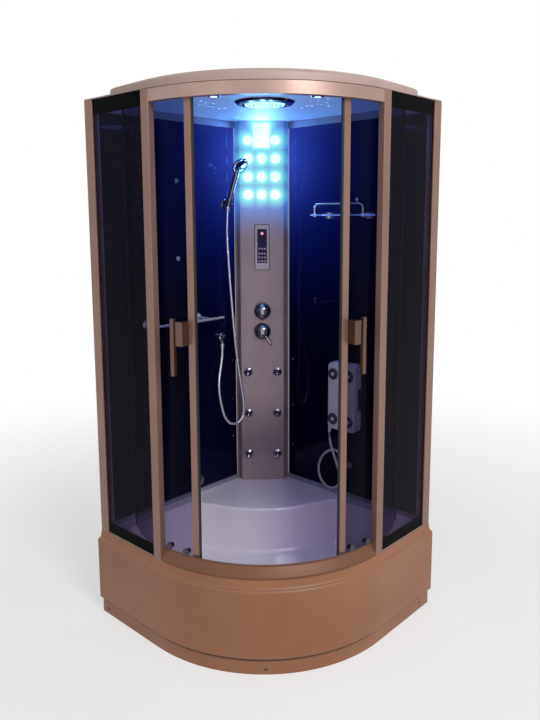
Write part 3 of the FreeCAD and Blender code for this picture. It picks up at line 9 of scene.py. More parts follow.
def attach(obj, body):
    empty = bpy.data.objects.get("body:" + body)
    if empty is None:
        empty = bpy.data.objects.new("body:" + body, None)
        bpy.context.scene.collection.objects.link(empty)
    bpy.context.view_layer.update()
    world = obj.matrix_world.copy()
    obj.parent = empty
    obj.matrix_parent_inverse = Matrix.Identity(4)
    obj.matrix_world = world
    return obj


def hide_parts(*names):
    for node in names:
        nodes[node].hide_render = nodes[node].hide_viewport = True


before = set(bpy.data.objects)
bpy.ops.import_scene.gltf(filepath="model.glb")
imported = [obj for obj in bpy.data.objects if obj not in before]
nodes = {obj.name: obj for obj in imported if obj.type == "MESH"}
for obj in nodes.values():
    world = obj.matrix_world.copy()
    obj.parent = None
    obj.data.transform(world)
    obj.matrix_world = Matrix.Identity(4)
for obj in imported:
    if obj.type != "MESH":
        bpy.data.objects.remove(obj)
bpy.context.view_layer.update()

# ---- places and sizes shared with the solid model, in metres ----
HALF = 0.5                 # wall planes at x = -HALF and y = HALF
ARC_R = 0.62               # skirt face, round (ARC_X, ARC_Y)
ARC_X = -0.12
ARC_Y = 0.12
RIM_TOP = 0.365
PLINTH_TOP = 0.066
BASIN_FLOOR = 0.168
CEILING_Z = 2.09598
WALL_FACE = 0.013          # face of the wall glass from the wall plane
COL_FACE = 0.181           # column front from the room corner, along the diagonal
ROOT_HALF = math.sqrt(0.5)

# ---- lamp lenses on the column, and the parts of the ceiling ----
LENS_R = 0.022
LENS_PITCH = 0.0635
LENS_STEP = 0.0826
LENS_ROWS = 4
LENS_TOP_Z = 2.008
WINDOW_HALF = 0.037
WINDOW_Z = (1.976, 2.084)
HEAD_ALONG = 0.705         # middle of the rain head along the diagonal
HEAD_LOW = CEILING_Z - 0.013


def left_spot(out, y, z):
    """Point at a distance from the left wall plane."""
    return np.array([-HALF + out, y, z])


def right_spot(out, x, z):
    """Point at a distance from the right wall plane."""
    return np.array([x, HALF - out, z])


def diagonal_spot(across, along, z):
    """Point at a distance along the diagonal from the room corner, positive across to the right."""
    return np.array([-HALF + (across + along) * ROOT_HALF, HALF + (across - along) * ROOT_HALF, z])


COLUMN_IN = np.array([ROOT_HALF, -ROOT_HALF, 0.0])
LEFT_IN = np.array([1.0, 0.0, 0.0])
RIGHT_IN = np.array([0.0, -1.0, 0.0])
DOWN = np.array([0.0, 0.0, -1.0])


def linked(name, data):
    """An object of the scene with this data."""
    made = bpy.data.objects.new(name, data)
    bpy.context.scene.collection.objects.link(made)
    return made


# ---- camera, at the height and angle of the photograph ----
CAMERA_SPOT = (1.8687, -1.9854, 1.6626)
CAMERA_AZIMUTH = math.radians(42.84)
CAMERA_PITCH = math.radians(8.36)
CAMERA_ROLL = math.radians(-0.21)
FRAME_WIDE = 540
FRAME_HIGH = 720
FOCAL_PIXELS = 684.6
CENTRE_PIXEL = (270.8, 316.4)
SENSOR = 36.0


def place_camera():
    forward = Vector((-math.sin(CAMERA_AZIMUTH) * math.cos(CAMERA_PITCH),
                      math.cos(CAMERA_AZIMUTH) * math.cos(CAMERA_PITCH), -math.sin(CAMERA_PITCH)))
    level = forward.cross(Vector((0, 0, 1))).normalized()
    up = level.cross(forward)
    right = level * math.cos(CAMERA_ROLL) + up * math.sin(CAMERA_ROLL)
    top = up * math.cos(CAMERA_ROLL) - level * math.sin(CAMERA_ROLL)
    lens = bpy.data.cameras.new("photo_camera")
    camera = linked("photo_camera", lens)
    turn = Matrix((right, top, -forward)).transposed().to_4x4()
    camera.matrix_world = Matrix.Translation(CAMERA_SPOT) @ turn
    lens.sensor_width = SENSOR
    lens.lens = FOCAL_PIXELS / FRAME_HIGH * SENSOR
    lens.shift_x = (FRAME_WIDE / 2 - CENTRE_PIXEL[0]) / FRAME_HIGH
    lens.shift_y = (CENTRE_PIXEL[1] - FRAME_HIGH / 2) / FRAME_HIGH
    lens.clip_end = 200.0
    bpy.context.scene.camera = camera


# ---- making pieces ----

SHARP = math.radians(38)


def solid(name, points, faces, finish, closed=True):
    """A mesh object whose place is in its vertices, with one finish; a closed one has its poles merged."""
    mesh = bpy.data.meshes.new(name)
    mesh.from_pydata(np.asarray(points, float).reshape(-1, 3).tolist(), [],
                     faces.tolist() if isinstance(faces, np.ndarray) else faces)
    mesh.update()
    if closed:
        shape = bmesh.new()
        shape.from_mesh(mesh)
        bmesh.ops.remove_doubles(shape, verts=shape.verts, dist=1e-6)
        bmesh.ops.recalc_face_normals(shape, faces=shape.faces)
        shape.to_mesh(mesh)
        shape.free()
    mesh.polygons.foreach_set("use_smooth", np.ones(len(mesh.polygons), bool))
    mesh.set_sharp_from_angle(angle=SHARP)
    mesh.materials.append(finish)
    return linked(name, mesh)


def piece(name, points, faces, finish, body="cabin", slot=None, closed=True):
    """A solid that rides on a body, in a finish of the table; the slot argument is not used."""
    made = solid(name, points, faces, FINISH[finish], closed)
    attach(made, body)
    return made


def grid_faces(rows, columns, wrap_rows=False, wrap_columns=False):
    """Four-sided faces between neighbouring points of a rows by columns grid."""
    down = np.arange(rows - (not wrap_rows))
    over = np.arange(columns - (not wrap_columns))
    a, b = np.meshgrid(down, over, indexing="ij")
    c = (a + 1) % rows
    d = (b + 1) % columns
    return np.stack([a * columns + b, a * columns + d, c * columns + d, c * columns + b], -1).reshape(-1, 4)


def frame_about(axis):
    """Two unit vectors square to an axis and to each other, as rows."""
    axis = axis / np.linalg.norm(axis)
    helper = np.array([0.0, 0.0, 1.0]) if abs(axis[2]) < 0.9 else np.array([1.0, 0.0, 0.0])
    first = np.cross(helper, axis)
    first /= np.linalg.norm(first)
    return np.stack([first, np.cross(axis, first)])


def full_turn(count):
    """Angles evenly round a circle."""
    return np.linspace(0, 2 * np.pi, count, endpoint=False)


def turned(profile, spots, axis, around=24, ring=False):
    """Turned shape: each profile pair (radius, height) swept round the axis, repeated at every spot.

    point = spot + axis * height + radius * (cos t * first + sin t * second); a ring's profile is a closed one
    """
    profile = np.asarray(profile, float)
    spots = np.asarray(spots, float).reshape(-1, 3)
    axis = np.asarray(axis, float)
    side = frame_about(axis)
    t = full_turn(around)
    circle = np.cos(t)[:, None] * side[0] + np.sin(t)[:, None] * side[1]
    shape = profile[:, 1, None, None] * axis + profile[:, 0, None, None] * circle[None]
    points = spots[:, None, None, :] + shape[None]
    faces = grid_faces(len(profile), around, ring, True)
    count = len(profile) * around
    faces = (np.arange(len(spots))[:, None, None] * count + faces[None]).reshape(-1, 4)
    return points.reshape(-1, 3), faces


def swept(path, radius, across, around=16):
    """Tube round a path: point = path + radius * (cos t * n + sin t * b).

    n is square to the path's direction and to the across vector, b to both n and the direction. Both ends
    close on the path itself.
    """
    along = np.gradient(path, axis=0)
    along /= np.linalg.norm(along, axis=1, keepdims=True)
    along = np.concatenate([along[:1], along, along[-1:]])
    path = np.concatenate([path[:1], path, path[-1:]])
    radius = np.pad(np.broadcast_to(radius, len(path) - 2), 1)
    n = np.cross(along, across)
    n /= np.linalg.norm(n, axis=1, keepdims=True)
    b = np.cross(along, n)
    t = full_turn(around)[None, :, None]
    points = path[:, None] + radius[:, None, None] * (np.cos(t) * n[:, None] + np.sin(t) * b[:, None])
    return points.reshape(-1, 3), grid_faces(len(path), around, wrap_columns=True)


# ---- hoses ----

def smooth_line(points):
    """The smooth line of a hose: a NURBS curve with the route's points as its control points."""
    curve = bpy.data.curves.new("route", "CURVE")
    curve.dimensions = "3D"
    spline = curve.splines.new("NURBS")
    spline.points.add(len(points) - 1)
    for control, spot in zip(spline.points, points):
        control.co = (*spot, 1.0)
    spline.order_u = 3
    spline.use_endpoint_u = True
    spline.resolution_u = 24
    holder = linked("route", curve)
    mesh = bpy.data.meshes.new_from_object(holder)
    line = np.array([v.co for v in mesh.vertices], float)
    bpy.data.objects.remove(holder)
    bpy.data.meshes.remove(mesh)
    bpy.data.curves.remove(curve)
    return line


def evenly(line, step):
    """Points a constant step apart along a line, measured along it."""
    run = np.concatenate([[0.0], np.cumsum(np.linalg.norm(np.diff(line, axis=0), axis=1))])
    spots = np.linspace(0, run[-1], int(round(run[-1] / step)) + 1)
    return np.stack([np.interp(spots, run, line[:, i]) for i in range(3)], -1), spots


SHOWER_PIVOT = left_spot(0.036, 0.242, 1.714)
PIVOT_TO_HOSE = 0.0093
VALVE_NUT = left_spot(0.026, 0.201, 1.064)
SHOWER_ROUTE = np.array([left_spot(*place) for place in (
    (0.039, 0.226, 1.620), (0.042, 0.232, 1.470), (0.048, 0.240, 1.310), (0.056, 0.248, 1.150),
    (0.065, 0.258, 1.000), (0.075, 0.276, 0.850), (0.080, 0.289, 0.765), (0.080, 0.286, 0.702),
    (0.074, 0.256, 0.671), (0.067, 0.214, 0.673), (0.058, 0.184, 0.705), (0.050, 0.168, 0.768),
    (0.043, 0.160, 0.840), (0.038, 0.166, 0.905), (0.030, 0.189, 0.965), (0.026, 0.201, 1.014))])
MASSAGER_NUT = right_spot(0.056, -0.015, 0.67198)
TAP_TURN = math.radians(130)
TAP_AIM = np.array([math.cos(TAP_TURN), 0.0, math.sin(TAP_TURN)])
TAP_END = right_spot(0.026, 0.066, 0.520) + TAP_AIM * 0.02402
MASSAGER_ROUTE = np.array([right_spot(*place) for place in (
    (0.056, -0.015, 0.632), (0.052, 0.004, 0.575), (0.047, 0.027, 0.512), (0.041, 0.042, 0.452),
    (0.034, 0.018, 0.404), (0.028, -0.040, 0.382), (0.024, -0.092, 0.408), (0.022, -0.111, 0.465),
    (0.021, -0.088, 0.532), (0.021, -0.030, 0.578))])

WINDING_R = 0.0058         # shower hose: middle radius, its swell, and the length of one turn
WINDING_SWELL = 0.0003
WINDING_PITCH = 0.0044
SHOWER_NUT_WIDE = 0.0088   # radius of the straight part of its nuts, its share, and how far the cone falls
SHOWER_NUT_STRAIGHT = 0.45
SHOWER_NUT_FALL = 0.0022
GREY_HOSE_R = 0.0055       # massager hose, and the wide end and fall of its nuts
GREY_NUT_WIDE = 0.0078
GREY_NUT_FALL = 0.0018


def shower_nut(share):
    """Radius of a nut with a straight part and then a cone down to the hose."""
    cone = (share - SHOWER_NUT_STRAIGHT) / (1 - SHOWER_NUT_STRAIGHT)
    return np.where(share < SHOWER_NUT_STRAIGHT, SHOWER_NUT_WIDE, SHOWER_NUT_WIDE - SHOWER_NUT_FALL * cone)


def grey_nut(share):
    """Radius of a nut that is one long cone."""
    return GREY_NUT_WIDE - GREY_NUT_FALL * share


def hose_nuts(names, parts, radius, across, finish):
    """A nut round both ends of a hose: its radius by the share of its length, 0 at the hose's end."""
    nuts = []
    for name, part, order in zip(names, parts, (1, -1)):
        share = np.linspace(0, 1, len(part))[::order]
        nuts.append(piece(name, *swept(part, radius(share), across, 20), finish, slot="chrome"))
    return nuts


def shower_hose():
    """Spiral-wound metal hose: its radius swells and shrinks once for every turn of the winding."""
    aim = SHOWER_ROUTE[0] - SHOWER_PIVOT
    start = SHOWER_PIVOT + aim / np.linalg.norm(aim) * PIVOT_TO_HOSE
    line = smooth_line([start, *SHOWER_ROUTE, VALVE_NUT])
    path, run = evenly(line, WINDING_PITCH / 4)
    radius = WINDING_R + WINDING_SWELL * np.cos(run / WINDING_PITCH * 2 * np.pi)
    hose = piece("shower_hose_winding", *swept(path, radius, LEFT_IN, 12), "bright", slot="chrome")
    nuts = hose_nuts(("shower_hose_nut_top", "shower_hose_nut_valve"), (path[:26], path[-27:]), shower_nut,
                     LEFT_IN, "bright")
    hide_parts("shower_hose")


def massager_hose():
    """Smooth grey hose from the massager's nut, round one loop, up to the outlet on the wall."""
    line = smooth_line([MASSAGER_NUT, *MASSAGER_ROUTE, TAP_END + TAP_AIM * 0.046, TAP_END])
    path, run = evenly(line, 0.003)
    hose = piece("massager_hose_tube", *swept(path, GREY_HOSE_R, RIGHT_IN, 16), "grey_hose",
                 slot="white_plastic")
    nuts = hose_nuts(("massager_hose_nut_top", "massager_hose_nut_tap"), (path[:9], path[-9:]), grey_nut,
                     RIGHT_IN, "chrome")
    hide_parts("massager_hose")


# ---- finishes ----

def srgb(red, green, blue):
    """Linear colour of a display colour given as 0 to 255."""
    share = np.array([red, green, blue]) / 255
    line = np.where(share <= 0.04045, share / 12.92, ((share + 0.055) / 1.055) ** 2.4)
    return (*line.tolist(), 1.0)


BLACK = (0.0, 0.0, 0.0, 1.0)
WHITE = (1.0, 1.0, 1.0, 1.0)


def add(tree, kind, **settings):
    node = tree.nodes.new("ShaderNode" + kind)
    for name, value in settings.items():
        setattr(node, name, value)
    return node


def feed(tree, source, target):
    """Link an output to an input, or set the input to a plain value."""
    if isinstance(source, bpy.types.NodeSocket):
        tree.links.new(source, target)
    else:
        target.default_value = source


def calc(tree, operation, *values):
    node = add(tree, "Math", operation=operation)
    for value, socket in zip(values, node.inputs):
        feed(tree, value, socket)
    return node.outputs[0]


def blend_colours(tree, factor, first, second):
    node = add(tree, "Mix", data_type="RGBA")
    feed(tree, factor, node.inputs[0])
    feed(tree, first, node.inputs[6])
    feed(tree, second, node.inputs[7])
    return node.outputs[2]


def ranged(tree, value, low, high, to_low=0.0, to_high=1.0, smooth=True):
    node = add(tree, "MapRange", interpolation_type="SMOOTHSTEP" if smooth else "LINEAR")
    for source, socket in zip((value, low, high, to_low, to_high), node.inputs):
        feed(tree, source, socket)
    return node.outputs[0]


def noise(tree, vector, scale, detail=4.0, roughness=0.55):
    node = add(tree, "TexNoise")
    feed(tree, vector, node.inputs["Vector"])
    feed(tree, scale, node.inputs["Scale"])
    node.inputs["Detail"].default_value = detail
    node.inputs["Roughness"].default_value = roughness
    return node.outputs["Fac"]


def object_place(tree):
    """Place of the point in the piece's own coordinates."""
    return add(tree, "TexCoord").outputs["Object"]


def stretched(tree, scale):
    """Place of the point, multiplied by a scale on each axis."""
    node = add(tree, "VectorMath", operation="MULTIPLY")
    feed(tree, object_place(tree), node.inputs[0])
    feed(tree, scale, node.inputs[1])
    return node.outputs[0]


def split(tree, vector):
    """X, Y and Z of a vector."""
    node = add(tree, "SeparateXYZ")
    feed(tree, vector, node.inputs[0])
    return node.outputs


def facing(tree):
    """X, Y and Z of the direction that the face looks in."""
    return split(tree, add(tree, "NewGeometry").outputs["Normal"])


def span(tree, first, second):
    """Length across two sides that are square to each other."""
    return calc(tree, "SQRT", calc(tree, "ADD", calc(tree, "MULTIPLY", first, first),
                                   calc(tree, "MULTIPLY", second, second)))


def nearest(tree, value, low, high):
    """Whole number nearest to a value, kept between two limits."""
    return calc(tree, "MINIMUM", calc(tree, "MAXIMUM", calc(tree, "ROUND", value), low), high)


def beyond(tree, value, limit):
    """How far a value is past a limit, and zero before it."""
    return calc(tree, "MAXIMUM", calc(tree, "SUBTRACT", value, limit), 0.0)


def seen_rays(tree):
    """One for rays that go to the eye: straight, off a gloss or through glass."""
    path = add(tree, "LightPath").outputs
    return calc(tree, "MAXIMUM", calc(tree, "MAXIMUM", path["Is Camera Ray"], path["Is Glossy Ray"]),
                path["Is Transmission Ray"])


def principled(tree):
    return tree.nodes["Principled BSDF"]


def emitted(tree, colour, strength=1.0):
    node = add(tree, "Emission")
    node.inputs["Color"].default_value = colour
    node.inputs["Strength"].default_value = strength
    return node.outputs[0]


def show(tree, factor, first, second):
    """Make a mix of two shaders the surface of the material."""
    mix = add(tree, "MixShader")
    for source, socket in zip((factor, first, second), mix.inputs):
        feed(tree, source, socket)
    output = next(n for n in tree.nodes if n.type == "OUTPUT_MATERIAL")
    feed(tree, mix.outputs[0], output.inputs["Surface"])


def effect(name, inputs, outputs):
    """An empty shader node group with named sockets; returns its tree, its inputs and its outputs."""
    tree = bpy.data.node_groups.new(name, "ShaderNodeTree")
    for label, kind, value in inputs:
        socket = tree.interface.new_socket(label, in_out="INPUT", socket_type="NodeSocket" + kind)
        socket.default_value = value
    for label, kind in outputs:
        tree.interface.new_socket(label, in_out="OUTPUT", socket_type="NodeSocket" + kind)
    return tree, tree.nodes.new("NodeGroupInput").outputs, tree.nodes.new("NodeGroupOutput").inputs


def mottle_effect():
    """Cloudy change of colour and gloss, and a fine grain to raise as a bump."""
    tree, given, result = effect(
        "mottle",
        [("Colour", "Color", WHITE), ("Shade", "Color", BLACK), ("Size", "Float", 4.0),
         ("Amount", "Float", 0.3), ("Roughness", "Float", 0.4), ("Spread", "Float", 0.1)],
        [("Colour", "Color"), ("Roughness", "Float"), ("Grain", "Float")])
    spot = object_place(tree)
    cloud = ranged(tree, noise(tree, spot, given["Size"], 5.0), 0.35, 0.72)
    shaded = calc(tree, "MULTIPLY", cloud, given["Amount"])
    feed(tree, blend_colours(tree, shaded, given["Colour"], given["Shade"]), result["Colour"])
    smear = noise(tree, spot, calc(tree, "MULTIPLY", given["Size"], 3.7), 3.0)
    change = calc(tree, "MULTIPLY", calc(tree, "SUBTRACT", smear, 0.5), given["Spread"])
    feed(tree, calc(tree, "ADD", given["Roughness"], change), result["Roughness"])
    feed(tree, noise(tree, spot, 900.0, 2.0), result["Grain"])
    return tree


def brushed_effect():
    """Fine lines along one direction, from noise stretched by a scale on each axis."""
    tree, given, result = effect("brushed", [("Stretch", "Vector", (400, 400, 4))], [("Lines", "Float")])
    feed(tree, noise(tree, stretched(tree, given["Stretch"]), 1.0, 3.0, 0.6), result["Lines"])
    return tree


def settled_effect():
    """Dust on faces that look up, thicker in patches."""
    tree, given, result = effect("settled_dust", [("Amount", "Float", 0.3)], [("Mask", "Float")])
    patch = ranged(tree, noise(tree, object_place(tree), 9.0, 6.0), 0.3, 0.75, 0.35, 1.0)
    up = ranged(tree, facing(tree)["Z"], 0.55, 0.98)
    feed(tree, calc(tree, "MULTIPLY", calc(tree, "MULTIPLY", up, patch), given["Amount"]), result["Mask"])
    return tree


def streak_effect():
    """Dried water on an upright face: narrow runs, long in height, that dull the gloss a little."""
    tree, given, result = effect("dried_runs", [("Clean", "Float", 0.02), ("Dull", "Float", 0.12)],
                                 [("Roughness", "Float"), ("Mask", "Float")])
    mask = ranged(tree, noise(tree, stretched(tree, (38.0, 38.0, 1.6)), 1.0, 4.0), 0.52, 0.78)
    feed(tree, mask, result["Mask"])
    feed(tree, ranged(tree, mask, 0.0, 1.0, given["Clean"], given["Dull"], False), result["Roughness"])
    return tree


def lamp_effect():
    """Distance from the nearest lamp lens or the lit window on the column front, zero on them."""
    tree, _, result = effect("lamp_distance", [], [("Distance", "Float")])
    spot = split(tree, object_place(tree))
    across = calc(tree, "MULTIPLY", calc(tree, "ADD", spot["X"], spot["Y"]), ROOT_HALF)
    column = calc(tree, "DIVIDE", across, LENS_PITCH)
    row = calc(tree, "DIVIDE", calc(tree, "SUBTRACT", LENS_TOP_Z, spot["Z"]), LENS_STEP)
    near_column = nearest(tree, column, -1.0, 1.0)
    near_row = nearest(tree, row, 0.0, LENS_ROWS - 1.0)
    side = calc(tree, "MULTIPLY", calc(tree, "SUBTRACT", column, near_column), LENS_PITCH)
    rise = calc(tree, "MULTIPLY", calc(tree, "SUBTRACT", row, near_row), LENS_STEP)
    lens = beyond(tree, span(tree, side, rise), LENS_R)
    middle = sum(WINDOW_Z) / 2
    beside = beyond(tree, calc(tree, "ABSOLUTE", across), WINDOW_HALF)
    from_middle = calc(tree, "ABSOLUTE", calc(tree, "SUBTRACT", spot["Z"], middle))
    above = beyond(tree, from_middle, WINDOW_Z[1] - middle)
    feed(tree, calc(tree, "MINIMUM", lens, span(tree, beside, above)), result["Distance"])
    return tree


def room_side_effect():
    """One on faces that look into the cabin from its walls or its corner, zero on their backs."""
    tree, _, result = effect("room_side", [], [("Mask", "Float")])
    normal = facing(tree)
    feed(tree, ranged(tree, calc(tree, "SUBTRACT", normal["X"], normal["Y"]), 0.2, 0.6), result["Mask"])
    return tree


MOTTLE = mottle_effect()
BRUSHED = brushed_effect()
SETTLED = settled_effect()
STREAKS = streak_effect()
LAMPS = lamp_effect()
ROOM_SIDE = room_side_effect()


def use(tree, group, **values):
    """Place an effect in a material with its own values; underscores stand for spaces."""
    node = add(tree, "Group", node_tree=group)
    for name, value in values.items():
        feed(tree, value, node.inputs[name.replace("_", " ")])
    return node.outputs


def finish(name, metallic=0.0, **plain):
    """A material with one Principled shader, whose plain values go straight on its sockets."""
    made = bpy.data.materials.new(name)
    made.use_nodes = True
    sockets = principled(made.node_tree).inputs
    sockets["Metallic"].default_value = metallic
    for label, value in plain.items():
        sockets[label.replace("_", " ")].default_value = value
    return made, made.node_tree, sockets


def raise_bump(tree, sockets, height, distance, strength=1.0):
    bump = add(tree, "Bump")
    bump.inputs["Distance"].default_value = distance
    bump.inputs["Strength"].default_value = strength
    feed(tree, height, bump.inputs["Height"])
    feed(tree, bump.outputs[0], sockets["Normal"])


DUST = srgb(168, 160, 150)


def moulded(name, colour, shade, size=3.0, amount=0.35, roughness=0.35, spread=0.16, dust=0.25, grain=0.00004,
            metallic=0.0, **plain):
    """Moulded or painted surface: cloudy colour, uneven gloss, a fine grain and dust on its upper faces."""
    made, tree, sockets = finish(name, metallic, **plain)
    look = use(tree, MOTTLE, Colour=srgb(*colour), Shade=srgb(*shade), Size=size, Amount=amount,
               Roughness=roughness, Spread=spread)
    mask = use(tree, SETTLED, Amount=dust)["Mask"]
    feed(tree, blend_colours(tree, mask, look["Colour"], DUST), sockets["Base Color"])
    feed(tree, calc(tree, "ADD", look["Roughness"], calc(tree, "MULTIPLY", mask, 0.3)), sockets["Roughness"])
    raise_bump(tree, sockets, look["Grain"], grain)
    return made


def brushed(name, colour, shade, stretch, roughness=0.3, depth=0.00002, metallic=1.0, dust=0.15, **plain):
    """Metal with fine lines along its length, uneven gloss and a little dust."""
    made, tree, sockets = finish(name, metallic, **plain)
    look = use(tree, MOTTLE, Colour=srgb(*colour), Shade=srgb(*shade), Size=5.0, Amount=0.3,
               Roughness=roughness, Spread=0.14)
    lines = use(tree, BRUSHED, Stretch=stretch)["Lines"]
    mask = use(tree, SETTLED, Amount=dust)["Mask"]
    feed(tree, blend_colours(tree, mask, look["Colour"], DUST), sockets["Base Color"])
    feed(tree, calc(tree, "ADD", look["Roughness"], calc(tree, "MULTIPLY", calc(
        tree, "SUBTRACT", lines, 0.5), 0.25)), sockets["Roughness"])
    raise_bump(tree, sockets, lines, depth)
    return made


def let_lamps_through(made, colour):
    """Glass passes the rays that light what is behind it: they meet a plain tint instead of the glass."""
    tree = made.node_tree
    tint = add(tree, "BsdfTransparent")
    tint.inputs["Color"].default_value = colour
    lighting = add(tree, "LightPath").outputs["Is Shadow Ray"]
    show(tree, lighting, principled(tree).outputs[0], tint.outputs[0])


BAND_LOW = 0.411           # the printed bands of the side glass end here
BAND_HIGH = 2.045
BAND_BLACK = srgb(8, 6, 10)


def pane_finish(name, tint, banded=False, sheen=0.3, index=1.1):
    """Tinted pane with dried runs; the fixed side glass has a printed black band at its foot and its head."""
    made, tree, sockets = finish(name, Transmission_Weight=1.0, IOR=index, Base_Color=tint,
                                 Specular_Tint=(sheen, sheen, sheen, 1.0))
    runs = use(tree, STREAKS, Clean=0.0, Dull=0.012)
    feed(tree, runs["Roughness"], sockets["Roughness"])
    if banded:
        height = split(tree, object_place(tree))["Z"]
        band = calc(tree, "MAXIMUM", calc(tree, "LESS_THAN", height, BAND_LOW),
                    calc(tree, "GREATER_THAN", height, BAND_HIGH))
        feed(tree, blend_colours(tree, band, tint, BAND_BLACK), sockets["Base Color"])
    let_lamps_through(made, tint)
    return made


def shelf_glass_finish():
    """Clear glass whose ground edges carry painted blue lamp light: an emission on the faces that don't look
    up or down.
    """
    made = pane_finish("shelf_glass_clear", (0.86, 0.93, 0.95, 1.0), sheen=1.0, index=1.5)
    tree = made.node_tree
    sockets = principled(tree).inputs
    sockets["Emission Strength"].default_value = 1.0
    # painted light: the edges emit a blue colour in place of the lamps' light caught in the glass
    edge = ranged(tree, calc(tree, "ABSOLUTE", facing(tree)["Z"]), 0.3, 0.8, 1.0, 0.0)
    feed(tree, blend_colours(tree, edge, BLACK, srgb(60, 84, 140)), sockets["Emission Color"])
    return made


PAINTED_GLOW_Z = 1.95              # painted lamp light on the wall glass, an emission in place of the lamps' own light: its middle and how far it reaches
PAINTED_GLOW_REACH = 1.1
WIDE_PAINTED_GLOW = 3.2            # powers by which the two layers of painted lamp light fade
CLOSE_PAINTED_GLOW = 9.0


def wall_glass_finish():
    """Back-painted navy glass: deep blue under a hard gloss with dried runs, and painted lamp light near the
    lamps, an emission on its room side.
    """
    made, tree, sockets = finish("navy_wall_glass", IOR=1.5, Emission_Strength=1.0,
                                 Specular_Tint=(0.12, 0.12, 0.2, 1.0))
    look = use(tree, MOTTLE, Colour=srgb(6, 7, 38), Shade=srgb(4, 4, 22), Size=1.6, Amount=0.7,
               Roughness=0.04, Spread=0.02)
    runs = use(tree, STREAKS, Clean=0.02, Dull=0.11)
    feed(tree, look["Colour"], sockets["Base Color"])
    # painted light: an emission that grows stronger towards the lamps stands in for their light on the glass,
    # on its room side only
    away = add(tree, "VectorMath", operation="DISTANCE")
    feed(tree, object_place(tree), away.inputs[0])
    away.inputs[1].default_value = diagonal_spot(0, COL_FACE, PAINTED_GLOW_Z)
    near = ranged(tree, away.outputs["Value"], 0.0, PAINTED_GLOW_REACH, 1.0, 0.0, False)
    painted_glow = blend_colours(tree, calc(tree, "POWER", near, WIDE_PAINTED_GLOW), BLACK, srgb(14, 34, 148))
    painted_glow = blend_colours(tree, calc(tree, "POWER", near, CLOSE_PAINTED_GLOW), painted_glow, srgb(84, 112, 255))
    front = use(tree, ROOM_SIDE)["Mask"]
    feed(tree, blend_colours(tree, front, BLACK, painted_glow), sockets["Emission Color"])
    feed(tree, runs["Roughness"], sockets["Roughness"])
    return made


LAMP_CORE = srgb(252, 255, 250)
LAMP_EDGE = srgb(226, 255, 244)
LAMP_LIGHT = (0.16, 0.42, 1.0, 1.0)


def lit_finish(name, core, edge, light, strength, factor):
    """A lit lens: as bright as the picture shows it to the eye, and a coloured lamp to all it shines on."""
    made, tree, sockets = finish(name, Roughness=0.3, Emission_Strength=1.0)
    cloud = factor(tree)
    feed(tree, blend_colours(tree, cloud, srgb(70, 90, 96), srgb(50, 80, 90)), sockets["Base Color"])
    feed(tree, blend_colours(tree, cloud, core, edge), sockets["Emission Color"])
    to_eye = add(tree, "LightPath").outputs["Is Camera Ray"]
    show(tree, to_eye, emitted(tree, light, strength), principled(tree).outputs[0])
    return made


def cloudy(scale, low=0.3, high=0.7):
    """A factor from noise, for a lit surface that isn't one flat colour."""
    return lambda tree: ranged(tree, noise(tree, object_place(tree), scale, 3.0), low, high)


def column_finish():
    """Silver-painted column with painted lamp light on its front: an emission near the lenses and the window,
    and a wider painted halo round them.
    """
    made = moulded("silver_column", (158, 140, 142), (134, 116, 122), 6.0, 0.35, 0.30, 0.12, 0.1,
                   metallic=0.35, Emission_Strength=1.0)
    tree = made.node_tree
    distance = use(tree, LAMPS)["Distance"]
    front = use(tree, ROOM_SIDE)["Mask"]
    # painted light: emission close to the lenses and a wider painted halo round them stand in for the lamps'
    # light on the column
    near = calc(tree, "POWER", ranged(tree, distance, 0.0, 0.05, 1.0, 0.0, False), 1.4)
    wide = calc(tree, "POWER", ranged(tree, distance, 0.0, 0.21, 1.0, 0.0, False), 2.0)
    painted_halo = blend_colours(tree, wide, BLACK, srgb(40, 120, 226))
    lit = blend_colours(tree, near, painted_halo, srgb(112, 236, 208))
    feed(tree, blend_colours(tree, front, BLACK, lit), principled(tree).inputs["Emission Color"])
    return made


def skirt_finish():
    """Bronze paint, with painted shade in a band about the plinth top, under the skirt's lower edge."""
    made = moulded("skirt_paint", (152, 103, 74), (128, 80, 54), 2.4, 0.5, 0.42, 0.14, 0.2)
    tree = made.node_tree
    base = principled(tree).inputs["Base Color"]
    paint = base.links[0].from_socket
    height = split(tree, object_place(tree))["Z"]
    # painted shade: a dark band about the plinth top stands in for the shadow under the overhanging skirt
    away = calc(tree, "ABSOLUTE", calc(tree, "SUBTRACT", height, PLINTH_TOP - 0.006))
    joint = ranged(tree, away, 0.004, 0.011, 0.85, 0.0)
    feed(tree, blend_colours(tree, joint, paint, srgb(44, 22, 14)), base)
    return made


CHAMPAGNE = (142, 112, 100)
CHAMPAGNE_SHADE = (116, 86, 74)
UPRIGHT = (500, 500, 6)    # brushed lines up a post, and round a curved rail
LEVEL = (8, 8, 600)

